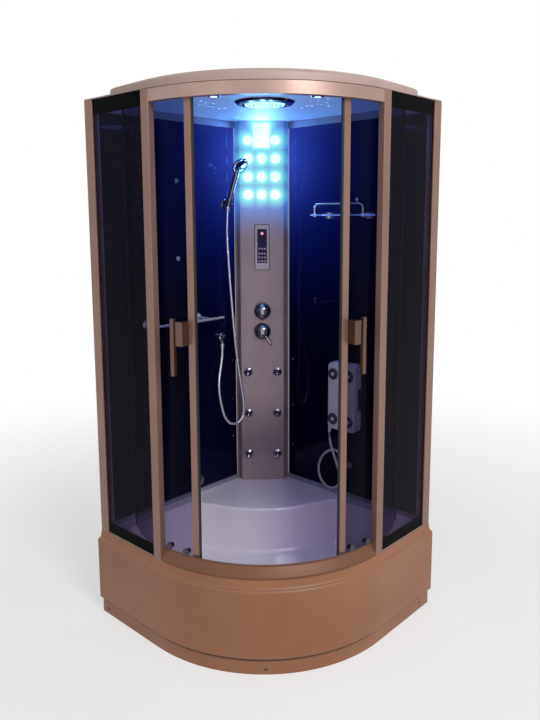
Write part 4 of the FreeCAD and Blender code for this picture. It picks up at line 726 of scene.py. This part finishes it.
FINISH = {
    "acrylic": moulded("tray_acrylic", (224, 218, 228), (206, 198, 214), 2.2, 0.4, 0.12, 0.08, 0.08,
                       0.000006, Coat_Weight=0.8, Coat_Roughness=0.02),
    "skirt": skirt_finish(),
    "frame": brushed("champagne_upright", CHAMPAGNE, CHAMPAGNE_SHADE, UPRIGHT, 0.34, metallic=0.55),
    # a lighter copy of the champagne aluminium for the header rail: painted light
    "rail": brushed("champagne_rail_painted_light", (170, 144, 136), (140, 112, 102), LEVEL, 0.34, metallic=0.55),
    # a darker copy of it for the threshold rail: painted shade at the foot of the doorway
    "sill": brushed("champagne_sill_painted_shade", (112, 74, 52), (88, 56, 38), LEVEL, 0.5, metallic=0.2),
    "roof": moulded("roof_paint", (176, 154, 148), (152, 126, 118), 3.0, 0.4, 0.45, 0.14, 0.3),
    # the ceiling paint also emits an even blue: painted lamp light over the ceiling and the fan housing
    "ceiling": moulded("ceiling_paint_painted_blue_light", (206, 218, 240), (186, 202, 232), 3.0, 0.3, 0.5, 0.1, 0.0,
                       Emission_Color=srgb(40, 84, 140), Emission_Strength=1.0),
    # chrome darkened to stand in for the dark room that it reflects: a painted reflection
    "chrome": moulded("chrome_plate_painted_dark_reflection", (148, 148, 156), (124, 124, 134), 12.0, 0.3, 0.07, 0.06, 0.05,
                      0.000004, metallic=1.0),
    # a lighter, less metallic copy of the chrome for parts that look lit: painted light
    "bright": moulded("chrome_painted_light", (236, 236, 244), (214, 214, 226), 12.0, 0.3, 0.14, 0.06, 0.05,
                      0.000004, metallic=0.72),
    "handle": brushed("satin_handle", (110, 86, 76), (88, 66, 56), UPRIGHT, 0.2, metallic=0.85),
    "roller": moulded("roller_nylon", (62, 58, 66), (44, 42, 50), 20.0, 0.4, 0.32, 0.1, 0.05),
    "steel": moulded("dark_steel", (80, 80, 84), (58, 58, 62), 8.0, 0.5, 0.5, 0.2, 0.3, metallic=0.5),
    "seal": moulded("seal_rubber", (30, 30, 33), (18, 18, 20), 20.0, 0.5, 0.6, 0.2, 0.2),
    "dark_plastic": moulded("dark_plastic", (34, 33, 40), (22, 21, 28), 14.0, 0.4, 0.42, 0.2, 0.1),
    "ring": moulded("ring_plastic", (62, 60, 78), (46, 44, 60), 30.0, 0.4, 0.36, 0.15, 0.05),
    "white_plastic": moulded("white_plastic", (200, 200, 210), (182, 182, 196), 6.0, 0.35, 0.28, 0.12, 0.1),
    "grey_hose": moulded("grey_hose", (186, 182, 190), (158, 154, 164), 26.0, 0.4, 0.3, 0.15, 0.05),
    "brass": moulded("cast_brass", (196, 158, 88), (160, 120, 62), 14.0, 0.5, 0.36, 0.2, 0.1, metallic=1.0),
    "circuit": moulded("lamp_board_green", (34, 92, 50), (24, 66, 38), 30.0, 0.5, 0.45, 0.2, 0.1),
    "trim": brushed("silver_trim", (164, 162, 178), (134, 132, 152), (60, 60, 60), 0.34, metallic=0.6),
    "bezel": brushed("display_metal", (150, 142, 158), (122, 114, 132), (300, 300, 300), 0.28, metallic=0.8),
    "column": column_finish(),
    "tinted": pane_finish("tinted_glass", (0.36, 0.33, 0.45, 1.0)),
    "banded": pane_finish("banded_glass", (0.30, 0.24, 0.36, 1.0), True, 0.2),
    "clear": shelf_glass_finish(),
    "wall": wall_glass_finish(),
    "screen": moulded("screen_black", (40, 26, 66), (24, 14, 40), 20.0, 0.4, 0.12, 0.05, 0.0, 0.0,
                      Specular_Tint=(0.3, 0.3, 0.4, 1.0)),
    "mark": lit_finish("display_mark", srgb(255, 196, 204), srgb(255, 120, 140), (1.0, 0.1, 0.15, 1.0), 1.0,
                       cloudy(300.0)),
    "lamp": lit_finish("lamp_lens", LAMP_CORE, LAMP_EDGE, LAMP_LIGHT, 26.0, cloudy(12.0)),
    "head": lit_finish("rain_head_lit", srgb(206, 248, 255), srgb(120, 214, 246), (0.22, 0.5, 1.0, 1.0), 12.0,
                       cloudy(60.0, 0.35, 0.65)),
}

NODE_FINISH = {
    "tray_tub": "acrylic", "tray_apron": "skirt", "tray_frame": "steel", "drain_waste": "chrome",
    "wall_profiles": "frame", "door_posts": "frame", "side_glass": "banded", "header_rail": "rail",
    "threshold_rail": "sill", "wall_panels": "wall", "panel_trims": "trim", "control_column": "column",
    "lamp_lenses": "lamp", "lamp_board": "circuit", "display_bezel": "bezel", "display_screen": "screen",
    "column_flanges": "chrome", "diverter_knob": "chrome", "mixer_lever": "chrome", "water_valves": "brass",
    "steam_generator": "steel", "ceiling_panel": "ceiling", "roof_shell": "roof", "rain_head": "head",
    "ceiling_rings": "chrome", "fan_housing": "ceiling", "fan_impeller": "dark_plastic",
    "wall_outlets": "chrome", "outlet_lever": "chrome", "towel_bar": "bright", "shelf_glass": "clear",
    "shelf_rail": "bright", "massager_housing": "white_plastic", "massager_fittings": "dark_plastic",
    "massager_hose": "grey_hose", "shower_holder": "chrome", "hand_shower": "chrome", "shower_hose": "bright",
}
STARTS = (("jet_nozzle", "chrome"), ("door_glass", "tinted"), ("door_stile", "frame"), ("door_seal", "seal"),
          ("door_fittings", "handle"), ("roller", "roller"))


def dress_nodes():
    """Give every carried-over part its finish."""
    for name, node in nodes.items():
        kind = NODE_FINISH.get(name) or next(value for start, value in STARTS if name.startswith(start))
        node.data.materials.clear()
        node.data.materials.append(FINISH[kind])


# ---- tray basin with rounded edges ----
DRAIN = diagonal_spot(0.090, 0.820, 0.0)[:2]
DRAIN_R = 0.045
BASIN_RAYS = 840
BASIN_WALL = 0.004


def parallel(corners, amount):
    """Outline moved inwards by an amount: each corner moves along both edges' normals, its radius follows."""
    spots = corners[:, :2]
    first = spots - np.roll(spots, 1, 0)
    first /= np.linalg.norm(first, axis=1, keepdims=True)
    second = np.roll(first, -1, 0)
    turn = first[:, 0] * second[:, 1] - first[:, 1] * second[:, 0]
    normals = np.stack([-first[:, 1] - second[:, 1], first[:, 0] + second[:, 0]], 1)
    moved = spots + normals * (amount / (1 + (first * second).sum(1)))[:, None]
    radius = corners[:, 2]
    radius = np.where(radius > 0, np.maximum(np.where(turn > 0, radius - amount, radius + amount), 0), 0)
    return np.column_stack([moved, radius])


def rounded(corners, steps=24):
    """Closed line through corners (x, y, radius), each rounded by points on its tangent arc."""
    spots = corners[:, :2]
    back = np.roll(spots, 1, 0) - spots
    ahead = np.roll(spots, -1, 0) - spots
    back /= np.linalg.norm(back, axis=1, keepdims=True)
    ahead /= np.linalg.norm(ahead, axis=1, keepdims=True)
    half = np.arccos(np.clip((back * ahead).sum(1), -1, 1)) / 2
    inward = back + ahead
    inward /= np.linalg.norm(inward, axis=1, keepdims=True)
    centre = spots + inward * (corners[:, 2] / np.sin(half))[:, None]
    start = spots + back * (corners[:, 2] / np.tan(half))[:, None] - centre
    sweep = (np.pi - 2 * half) * np.sign(back[:, 1] * ahead[:, 0] - back[:, 0] * ahead[:, 1])
    turn = sweep[:, None] * np.linspace(0, 1, steps)[None]
    c, s = np.cos(turn), np.sin(turn)
    x = centre[:, 0, None] + start[:, 0, None] * c - start[:, 1, None] * s
    y = centre[:, 1, None] + start[:, 0, None] * s + start[:, 1, None] * c
    return np.stack([x, y], -1).reshape(-1, 2)


def reach(line, angles):
    """Distance from the drain to a closed line in every direction, by cutting each ray with each edge."""
    a = line - DRAIN
    b = np.roll(a, -1, 0) - a
    ray = np.stack([np.cos(angles), np.sin(angles)], 1)
    cross = ray[:, None, 0] * b[None, :, 1] - ray[:, None, 1] * b[None, :, 0]
    cross = np.where(np.abs(cross) < 1e-12, 1e-12, cross)
    far = (a[None, :, 0] * b[None, :, 1] - a[None, :, 1] * b[None, :, 0]) / cross
    share = (a[None, :, 0] * ray[:, None, 1] - a[None, :, 1] * ray[:, None, 0]) / cross
    hit = (far > 0) & (share >= -1e-9) & (share <= 1 + 1e-9)
    return np.where(hit, far, 1e9).min(1)


def tray_basin():
    """Moulded basin: every ring is the basin's or the rim's outline at one offset, seen from the drain.

    point = drain + reach(angle, offset) * direction(angle), at the height of the ring: deck, rounded lip,
    leaning wall, hollow at its foot, and the floor up to the drain hole.
    """
    deck, front = 0.075, 0.076
    flare = HALF - 0.460
    side, ends, tip = 0.143, 0.508, 0.542
    seat = [(*diagonal_spot(across, along, 0)[:2], radius) for across, along, radius in (
        (side, ends, 0.034), (0, tip, 0.6), (-side, ends, 0.034))]
    edge = np.array([(-HALF + deck, -HALF + front, 0.06), (HALF - front, -HALF + front, ARC_R - front),
                     (HALF - front, HALF - deck, 0.06), (flare, HALF - deck, 0.03), *seat,
                     (-HALF + deck, -flare, 0.03)])
    inset = 0.0243
    rim = np.array([(-HALF + 0.001, -HALF + inset, 0.0), (HALF - inset, -HALF + inset, ARC_R - inset),
                    (HALF - inset, HALF - 0.001, 0.0), (-HALF + 0.001, HALF - 0.001, 0.0)])
    corner = np.arctan2(rim[[0, 2, 3], 1] - DRAIN[1], rim[[0, 2, 3], 0] - DRAIN[0])
    angles = np.sort(np.concatenate([np.linspace(-np.pi, np.pi, BASIN_RAYS, endpoint=False), corner]))
    lip, hollow, lean = 0.011, 0.020, 0.022
    deep = RIM_TOP - BASIN_FLOOR
    rings = [(reach(rounded(rim), angles), RIM_TOP - 0.007), (reach(rounded(rim), angles), RIM_TOP - 0.0008),
             (reach(rounded(parallel(rim, 0.0008)), angles), RIM_TOP)]
    outer = reach(rounded(parallel(edge, -lip)), angles)
    for share in (0.35, 0.7):
        rings.append((rings[2][0] * (1 - share) + outer * share, RIM_TOP))
    for turn in np.radians(np.arange(0, 91, 15)):
        ring = reach(rounded(parallel(edge, -lip * (1 - math.sin(turn)))), angles)
        rings.append((ring, RIM_TOP - lip * (1 - math.cos(turn))))
    for share in (0.33, 0.66):
        drop = lip + (deep - lip - hollow) * share
        rings.append((reach(rounded(parallel(edge, lean * drop / deep)), angles), RIM_TOP - drop))
    for turn in np.radians(np.arange(0, 91, 15)):
        step = lean * (deep - hollow) / deep + hollow * (1 - math.cos(turn))
        ring = reach(rounded(parallel(edge, step)), angles)
        rings.append((ring, BASIN_FLOOR + hollow * (1 - math.sin(turn))))
    foot = rings[-1][0]
    for share in (0.25, 0.5, 0.75, 1.0):
        rings.append((foot * (1 - share) + DRAIN_R * share, BASIN_FLOOR))
    far = np.array([ring for ring, height in rings])
    high = np.array([height for ring, height in rings])
    ray = np.stack([np.cos(angles), np.sin(angles)], 1)
    plan = DRAIN + far[:, :, None] * ray[None]
    points = np.concatenate([plan, np.broadcast_to(high[:, None, None], far.shape + (1,))], 2)
    faces = grid_faces(len(rings), len(angles), wrap_columns=True)
    made = piece("tray_basin", points, faces, "acrylic", closed=False)
    wall = made.modifiers.new("wall", "SOLIDIFY")
    wall.thickness = BASIN_WALL
    wall.offset = -1.0
    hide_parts("tray_tub")


# ---- small fittings ----

def dome(radius, height, rows=5, foot=0.0):
    """Profile of a low dome on a short foot: radius * cos a, foot + height * sin a."""
    turn = np.linspace(0, np.pi / 2, rows)
    rise = [(radius * math.cos(a), foot + height * math.sin(a)) for a in turn]
    rise[-1] = (0.0, foot + height)
    return [(0.0, 0.0), (radius, 0.0)] + rise


PLINTH_TURN = math.radians(-46.8)
PLINTH_OUT = np.array([math.cos(PLINTH_TURN), math.sin(PLINTH_TURN), 0.0])
PLINTH_SCREWS = (
    ("plinth_screw_front", np.array([ARC_X, ARC_Y, 0.021]) + PLINTH_OUT * (ARC_R - 0.014), PLINTH_OUT),
    ("plinth_screw_left", np.array([-0.4626, -0.486, 0.022]), RIGHT_IN),
    ("plinth_screw_right", np.array([0.486, 0.430, 0.030]), LEFT_IN))


SCREW_R = 0.0042
SCREW_HIGH = 0.0018


def screws_and_caps():
    """Screw heads on the column flanges and the plinth, and the two caps on the left wall glass."""
    left = [left_spot(WALL_FACE, 0.280, z) for z in (0.969, 0.777, 0.588)]
    right = [right_spot(WALL_FACE, -0.280, z) for z in (0.971, 0.741, 0.539)]
    head = dome(SCREW_R, SCREW_HIGH)
    piece("flange_screws_left", *turned(head, left, LEFT_IN, 16), "chrome")
    piece("flange_screws_right", *turned(head, right, RIGHT_IN, 16), "chrome")
    for name, spot, out in PLINTH_SCREWS:
        piece(name, *turned(dome(0.0062, 0.003), spot, out, 20), "steel")
    caps = [left_spot(WALL_FACE, -0.046, z) for z in (1.814, 1.477)]
    piece("wall_caps", *turned(dome(0.0105, 0.006, 6, 0.002), caps, LEFT_IN, 28), "white_plastic")


CEILING_STUDS = (          # across and along the diagonal, in millimetres
    (-258, 643), (-239, 631), (-220, 594), (-204, 581), (-182, 543), (-157, 543), (-122, 476), (-92, 477),
    (-243, 726), (-226, 703), (-200, 668), (156, 561), (172, 612), (192, 612), (208, 650), (224, 650),
    (203, 733), (241, 699), (236, 779), (256, 613))
NOZZLE = [(0.0, 0.0), (0.0024, 0.0), (0.0018, 0.0025), (0.0, 0.0028)]


def ceiling_details():
    """Nozzles of the rain head, small bright studs round it, and the lit glass of the two spot lamps."""
    head = diagonal_spot(0, HEAD_ALONG, HEAD_LOW)
    spots = [head]
    for ring, count in ((0.016, 6), (0.031, 12), (0.046, 18), (0.061, 24)):
        t = full_turn(count)
        spots += list(head + np.stack([ring * np.cos(t), ring * np.sin(t), np.zeros(count)], 1))
    piece("rain_nozzles", *turned(NOZZLE, spots, DOWN, 8), "dark_plastic")
    studs = [diagonal_spot(across / 1000, along / 1000, CEILING_Z) for across, along in CEILING_STUDS]
    piece("ceiling_studs", *turned(dome(0.0027, 0.0014, 4), studs, DOWN, 10), "lamp")
    spots = [diagonal_spot(across, 0.845, CEILING_Z - 0.0045) for across in (-0.19, 0.19)]
    piece("spot_lamp_glass", *turned(dome(0.015, 0.0015, 5, 0.0004), spots, DOWN, 28), "lamp")


def on_plan(flat, z):
    """Points (across, along the diagonal) of a plan, at a height."""
    across, along = flat.T
    return np.stack([-HALF + (across + along) * ROOT_HALF, HALF + (across - along) * ROOT_HALF,
                     np.broadcast_to(z, len(flat))], 1)


def on_front(flat, height):
    """Points (across, z) of the column front, at a height above it."""
    along = COL_FACE + np.broadcast_to(height, len(flat))
    return on_plan(np.column_stack([flat[:, 0], along]), flat[:, 1])


def upright_box(half, low, high, radius):
    """Corners (across, z, radius) of an upright rectangle in the middle of the column front."""
    return np.array([(-half, low, radius), (half, low, radius), (half, high, radius), (-half, high, radius)])


def bordered(name, corners, profile, finish, slot):
    """Closed moulding round an outline on the column front.

    point = outline moved outwards by the profile's first value, at the profile's second above the front.
    """
    outlines = [rounded(parallel(corners, -out), 10) for out, height in profile]
    high = np.repeat([height for out, height in profile], len(outlines[0]))
    points = on_front(np.concatenate(outlines), high)
    faces = grid_faces(len(profile), len(outlines[0]), wrap_rows=True, wrap_columns=True)
    piece(name, points, faces, finish, slot=slot)


# display: profiles as (outwards, above the front), a key as (radius, height)
DISPLAY_HALF = 0.034
DISPLAY_Z = (1.409, 1.622)
DISPLAY_FACE = COL_FACE + 0.0034
DISPLAY_JOINT = [(-0.001, 0.0003), (-0.001, 0.0016), (0.0024, 0.0016), (0.0024, 0.0003)]
DISPLAY_EDGE = [(-0.0062, 0.0051), (-0.0054, 0.0068), (-0.0012, 0.0068), (-0.0003, 0.0051)]
MARK_Z = 1.580
KEY = [(0.0, 0.0), (0.0052, 0.0), (0.0052, 0.001), (0.0042, 0.0016), (0.0, 0.0016)]
KEY_ACROSS = (-0.013, 0.0, 0.013)
KEY_Z = (1.4495, 1.467, 1.485, 1.508)


def display_face():
    """Dark joint and raised edge round the display, its lit round mark and its rows of keys."""
    edge = upright_box(DISPLAY_HALF, *DISPLAY_Z, 0.005)
    bordered("display_joint", edge, DISPLAY_JOINT, "seal", "seal")
    bordered("display_edge", edge, DISPLAY_EDGE, "bezel", "column")
    mark = turned(dome(0.0066, 0.0006, 4, 0.0006), diagonal_spot(0, DISPLAY_FACE, MARK_Z), COLUMN_IN, 24)
    piece("display_mark", *mark, "mark", slot="screen")
    keys = [diagonal_spot(across, DISPLAY_FACE, z) for z in KEY_Z for across in KEY_ACROSS]
    piece("display_keys", *turned(KEY, keys, COLUMN_IN, 16), "bezel", slot="white_plastic")


def extruded(line, place, low, high):
    """Straight shape: a closed line carried from one height to another, with both its ends closed."""
    ends = np.arange(len(line))
    sides = grid_faces(2, len(line), wrap_columns=True).tolist()
    points = np.concatenate([place(line, low), place(line, high)])
    return points, sides + [ends[::-1].tolist(), (ends + len(line)).tolist()]


COLUMN_LOW = RIM_TOP + 0.00002
COLUMN_HIGH = CEILING_Z - 0.0003
JETS = [(side * 0.070, z) for z in (0.912, 0.706, 0.499) for side in (-1, 1)]
JET_BORE = 0.0143


def column_shell():
    """Column cover: one plan section, the same from the tray rim to the ceiling, bored for the jets.

    The section runs from the flat front round one side to the flange on the wall glass, back inside at the
    thickness of the wall, and through the mirror image of these.
    """
    half = np.array([(0.106, COL_FACE, 0.007), (0.119, 0.1416, 0.003), (0.1265, 0.1491, 0.0008),
                     (0.1286, 0.1470, 0.0), (0.1179, 0.1363, 0.0), (0.1036, COL_FACE - 0.003, 0.004)])
    line = rounded(np.concatenate([half, half[::-1] * (-1, 1, 1)]), 8)
    made = piece("column_cover", *extruded(line, on_plan, COLUMN_LOW, COLUMN_HIGH), "column")
    spots = [diagonal_spot(across, COL_FACE, z) for across, z in JETS]
    bore = [(0.0, -0.02), (JET_BORE, -0.02), (JET_BORE, 0.02), (0.0, 0.02)]
    tool = solid("jet_bores", *turned(bore, spots, COLUMN_IN, 32), FINISH["column"])
    cut = made.modifiers.new("bores", "BOOLEAN")
    cut.object = tool
    cut.solver = "EXACT"
    made.data = bpy.data.meshes.new_from_object(made.evaluated_get(bpy.context.evaluated_depsgraph_get()))
    made.modifiers.remove(cut)
    bpy.data.objects.remove(tool)
    made.data.set_sharp_from_angle(angle=SHARP)
    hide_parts("control_column")


TRIM_RUN = (0.1952, 0.2307)    # from the room corner along the wall
TRIM_OUT = (0.0134, 0.0199)    # from the wall plane
TRIM_ENDS = (("foot", RIM_TOP + 0.0001, RIM_TOP + 0.0199), ("head", 2.0652, CEILING_Z - 0.0002))


def trim_ends():
    """Wall trim beside the column: the lengths at the head and the foot of the wall glass.

    A plan corner (run, out) on a wall lies at across = (run - out) / sqrt 2, along = (run + out) / sqrt 2.
    """
    run = np.array(TRIM_RUN)[[0, 1, 1, 0]]
    out = np.array(TRIM_OUT)[[0, 0, 1, 1]]
    for side, name in ((-1, "left"), (1, "right")):
        plan = np.column_stack([side * (run - out) * ROOT_HALF, (run + out) * ROOT_HALF, np.full(4, 0.0008)])
        for place, low, high in TRIM_ENDS:
            piece(f"trim_end_{place}_{name}", *extruded(rounded(plan, 5), on_plan, low, high), "trim",
                  slot="frame")


def lamp_discs():
    """Lit lenses in rows of three, and the lit window in the place of the top middle one."""
    spots = [diagonal_spot(LENS_PITCH * column, COL_FACE - 0.001, LENS_TOP_Z - LENS_STEP * row)
             for row in range(LENS_ROWS) for column in (-1, 0, 1) if (row, column) != (0, 0)]
    made = piece("lamp_discs", *turned(dome(LENS_R, 0.0016, 6, 0.0026), spots, COLUMN_IN, 40), "lamp")
    edge = rounded(upright_box(WINDOW_HALF, *WINDOW_Z, 0.004), 8)
    piece("lamp_window", *extruded(edge, on_front, -0.001, 0.0022), "lamp")
    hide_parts("lamp_lenses")


def together(*shapes):
    """Several shapes as one: their points in one list, and the faces counted on from shape to shape."""
    counts = np.cumsum([0] + [len(points) for points, faces in shapes[:-1]])
    return (np.concatenate([points for points, faces in shapes]),
            np.concatenate([faces + count for (points, faces), count in zip(shapes, counts)]))


# each valve: piece, node, body, height, and the ends of its pointer or lever as (across, rise, out)
VALVES = (
    ("diverter_dome", "diverter_knob", "diverter", 1.212, [(0.0, -0.030, 0.018), (-0.001, -0.043, 0.014)]),
    ("mixer_dome", "mixer_lever", "mixer", 1.114, [(0.014, -0.022, 0.026), (0.042, -0.065, 0.038)]))


def valve_knobs():
    """Diverter knob and mixer: a polished dome over each cover, one with a pointer and one with a lever.

    dome: radius * cos a, foot + height * sin a, on a rim that follows the cover's cone
    """
    turn = np.linspace(0, np.pi / 2, 12)
    bowl = [(0.0, 0.0097), (0.0262, 0.0097), (0.0364, 0.0050), (0.0398, 0.0050)]
    bowl += [(0.0405 * math.cos(a), 0.0075 + 0.032 * math.sin(a)) for a in turn[:-1]] + [(0.0, 0.0395)]
    for name, node, body, z, ends in VALVES:
        spot = diagonal_spot(0, COL_FACE, z)
        ends = np.array([diagonal_spot(across, COL_FACE + out, z + rise) for across, rise, out in ends])
        share = np.linspace(0, 1, 12)[:, None]
        arm = ends[0] * (1 - share) + ends[1] * share
        round_end = np.sqrt(np.clip(1 - ((share[:, 0] - 0.86) / 0.15).clip(0) ** 2, 0.02, 1))
        lever = swept(arm, 0.0062 * round_end, COLUMN_IN, 16)
        knob = together(turned(bowl, spot, COLUMN_IN, 48), lever)
        made = piece(name, *knob, "chrome", body)
        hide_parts(node)


def massager_faces():
    """Broad dark ring and pale middle of each massage jet."""
    spots = [right_spot(0.068, x, z) for x in (0.012, 0.098) for z in (0.742, 0.952)]
    ring = [(0.0090, 0.0004), (0.0090, 0.0044), (0.0108, 0.0056), (0.0236, 0.0056), (0.0262, 0.0040),
            (0.0270, 0.0004)]
    piece("massager_rings", *turned(ring, spots, RIGHT_IN, 40, True), "ring", slot="dark_plastic")
    piece("massager_eyes", *turned(dome(0.0086, 0.0024, 5, 0.0052), spots, RIGHT_IN, 24), "white_plastic")


def stage_floor():
    """Pale round floor: keeps the shadow near the cabin and turns plain white far from it."""
    made, tree, sockets = finish("pale_floor", Roughness=0.9)
    look = use(tree, MOTTLE, Colour=srgb(236, 236, 238), Shade=srgb(226, 226, 230), Size=1.2, Amount=0.3,
               Roughness=0.9, Spread=0.05)
    feed(tree, look["Colour"], sockets["Base Color"])
    away = add(tree, "VectorMath", operation="LENGTH")
    feed(tree, object_place(tree), away.inputs[0])
    fading = ranged(tree, away.outputs["Value"], 0.9, 4.0, 0.55, 1.0)
    white = calc(tree, "MULTIPLY", seen_rays(tree), fading)
    show(tree, white, principled(tree).outputs[0], emitted(tree, WHITE))
    around = 96
    t = full_turn(around)
    rings = np.array([0.001, 1.0, 4.0, 12.0, 60.0])[:, None]
    points = np.stack([rings * np.cos(t), rings * np.sin(t), np.zeros((len(rings), around))], -1)
    faces = grid_faces(len(rings), around, wrap_columns=True)
    mesh = bpy.data.meshes.new("floor")
    mesh.from_pydata(points.reshape(-1, 3).tolist(), [], faces.tolist())
    mesh.materials.append(made)
    floor = linked("floor", mesh)


ROOM_LIGHT = 0.34          # how bright the white surroundings are to all but the eye
STUDIO_LAMPS = (           # name, place, size across in metres, watts
    ("key", (4.7, -1.5, 4.3), 2.4, 215.0), ("fill", (0.6, -4.9, 2.6), 3.0, 12.0))
LAMP_AIM = Vector((0, 0, 1.1))


def light_studio():
    """White surroundings and two large soft lamps."""
    world = bpy.data.worlds.new("studio")
    bpy.context.scene.world = world
    world.use_nodes = True
    tree = world.node_tree
    background = tree.nodes["Background"].inputs
    background["Color"].default_value = WHITE
    feed(tree, ranged(tree, seen_rays(tree), 0.0, 1.0, ROOM_LIGHT, 1.0, False), background["Strength"])
    for name, spot, size, power in STUDIO_LAMPS:
        light = bpy.data.lights.new(name, "AREA")
        light.shape = "DISK"
        light.size = size
        light.energy = power
        light.color = (1.0, 0.97, 0.94)
        lamp = linked(name, light)
        lamp.location = spot
        lamp.rotation_mode = "QUATERNION"
        lamp.rotation_quaternion = (LAMP_AIM - Vector(spot)).to_track_quat("-Z", "Y")


place_camera()
light_studio()
stage_floor()
dress_nodes()
shower_hose()
massager_hose()
tray_basin()
screws_and_caps()
ceiling_details()
column_shell()
trim_ends()
lamp_discs()
display_face()
valve_knobs()
massager_faces()
bpy.context.scene.view_settings.view_transform = "Standard"
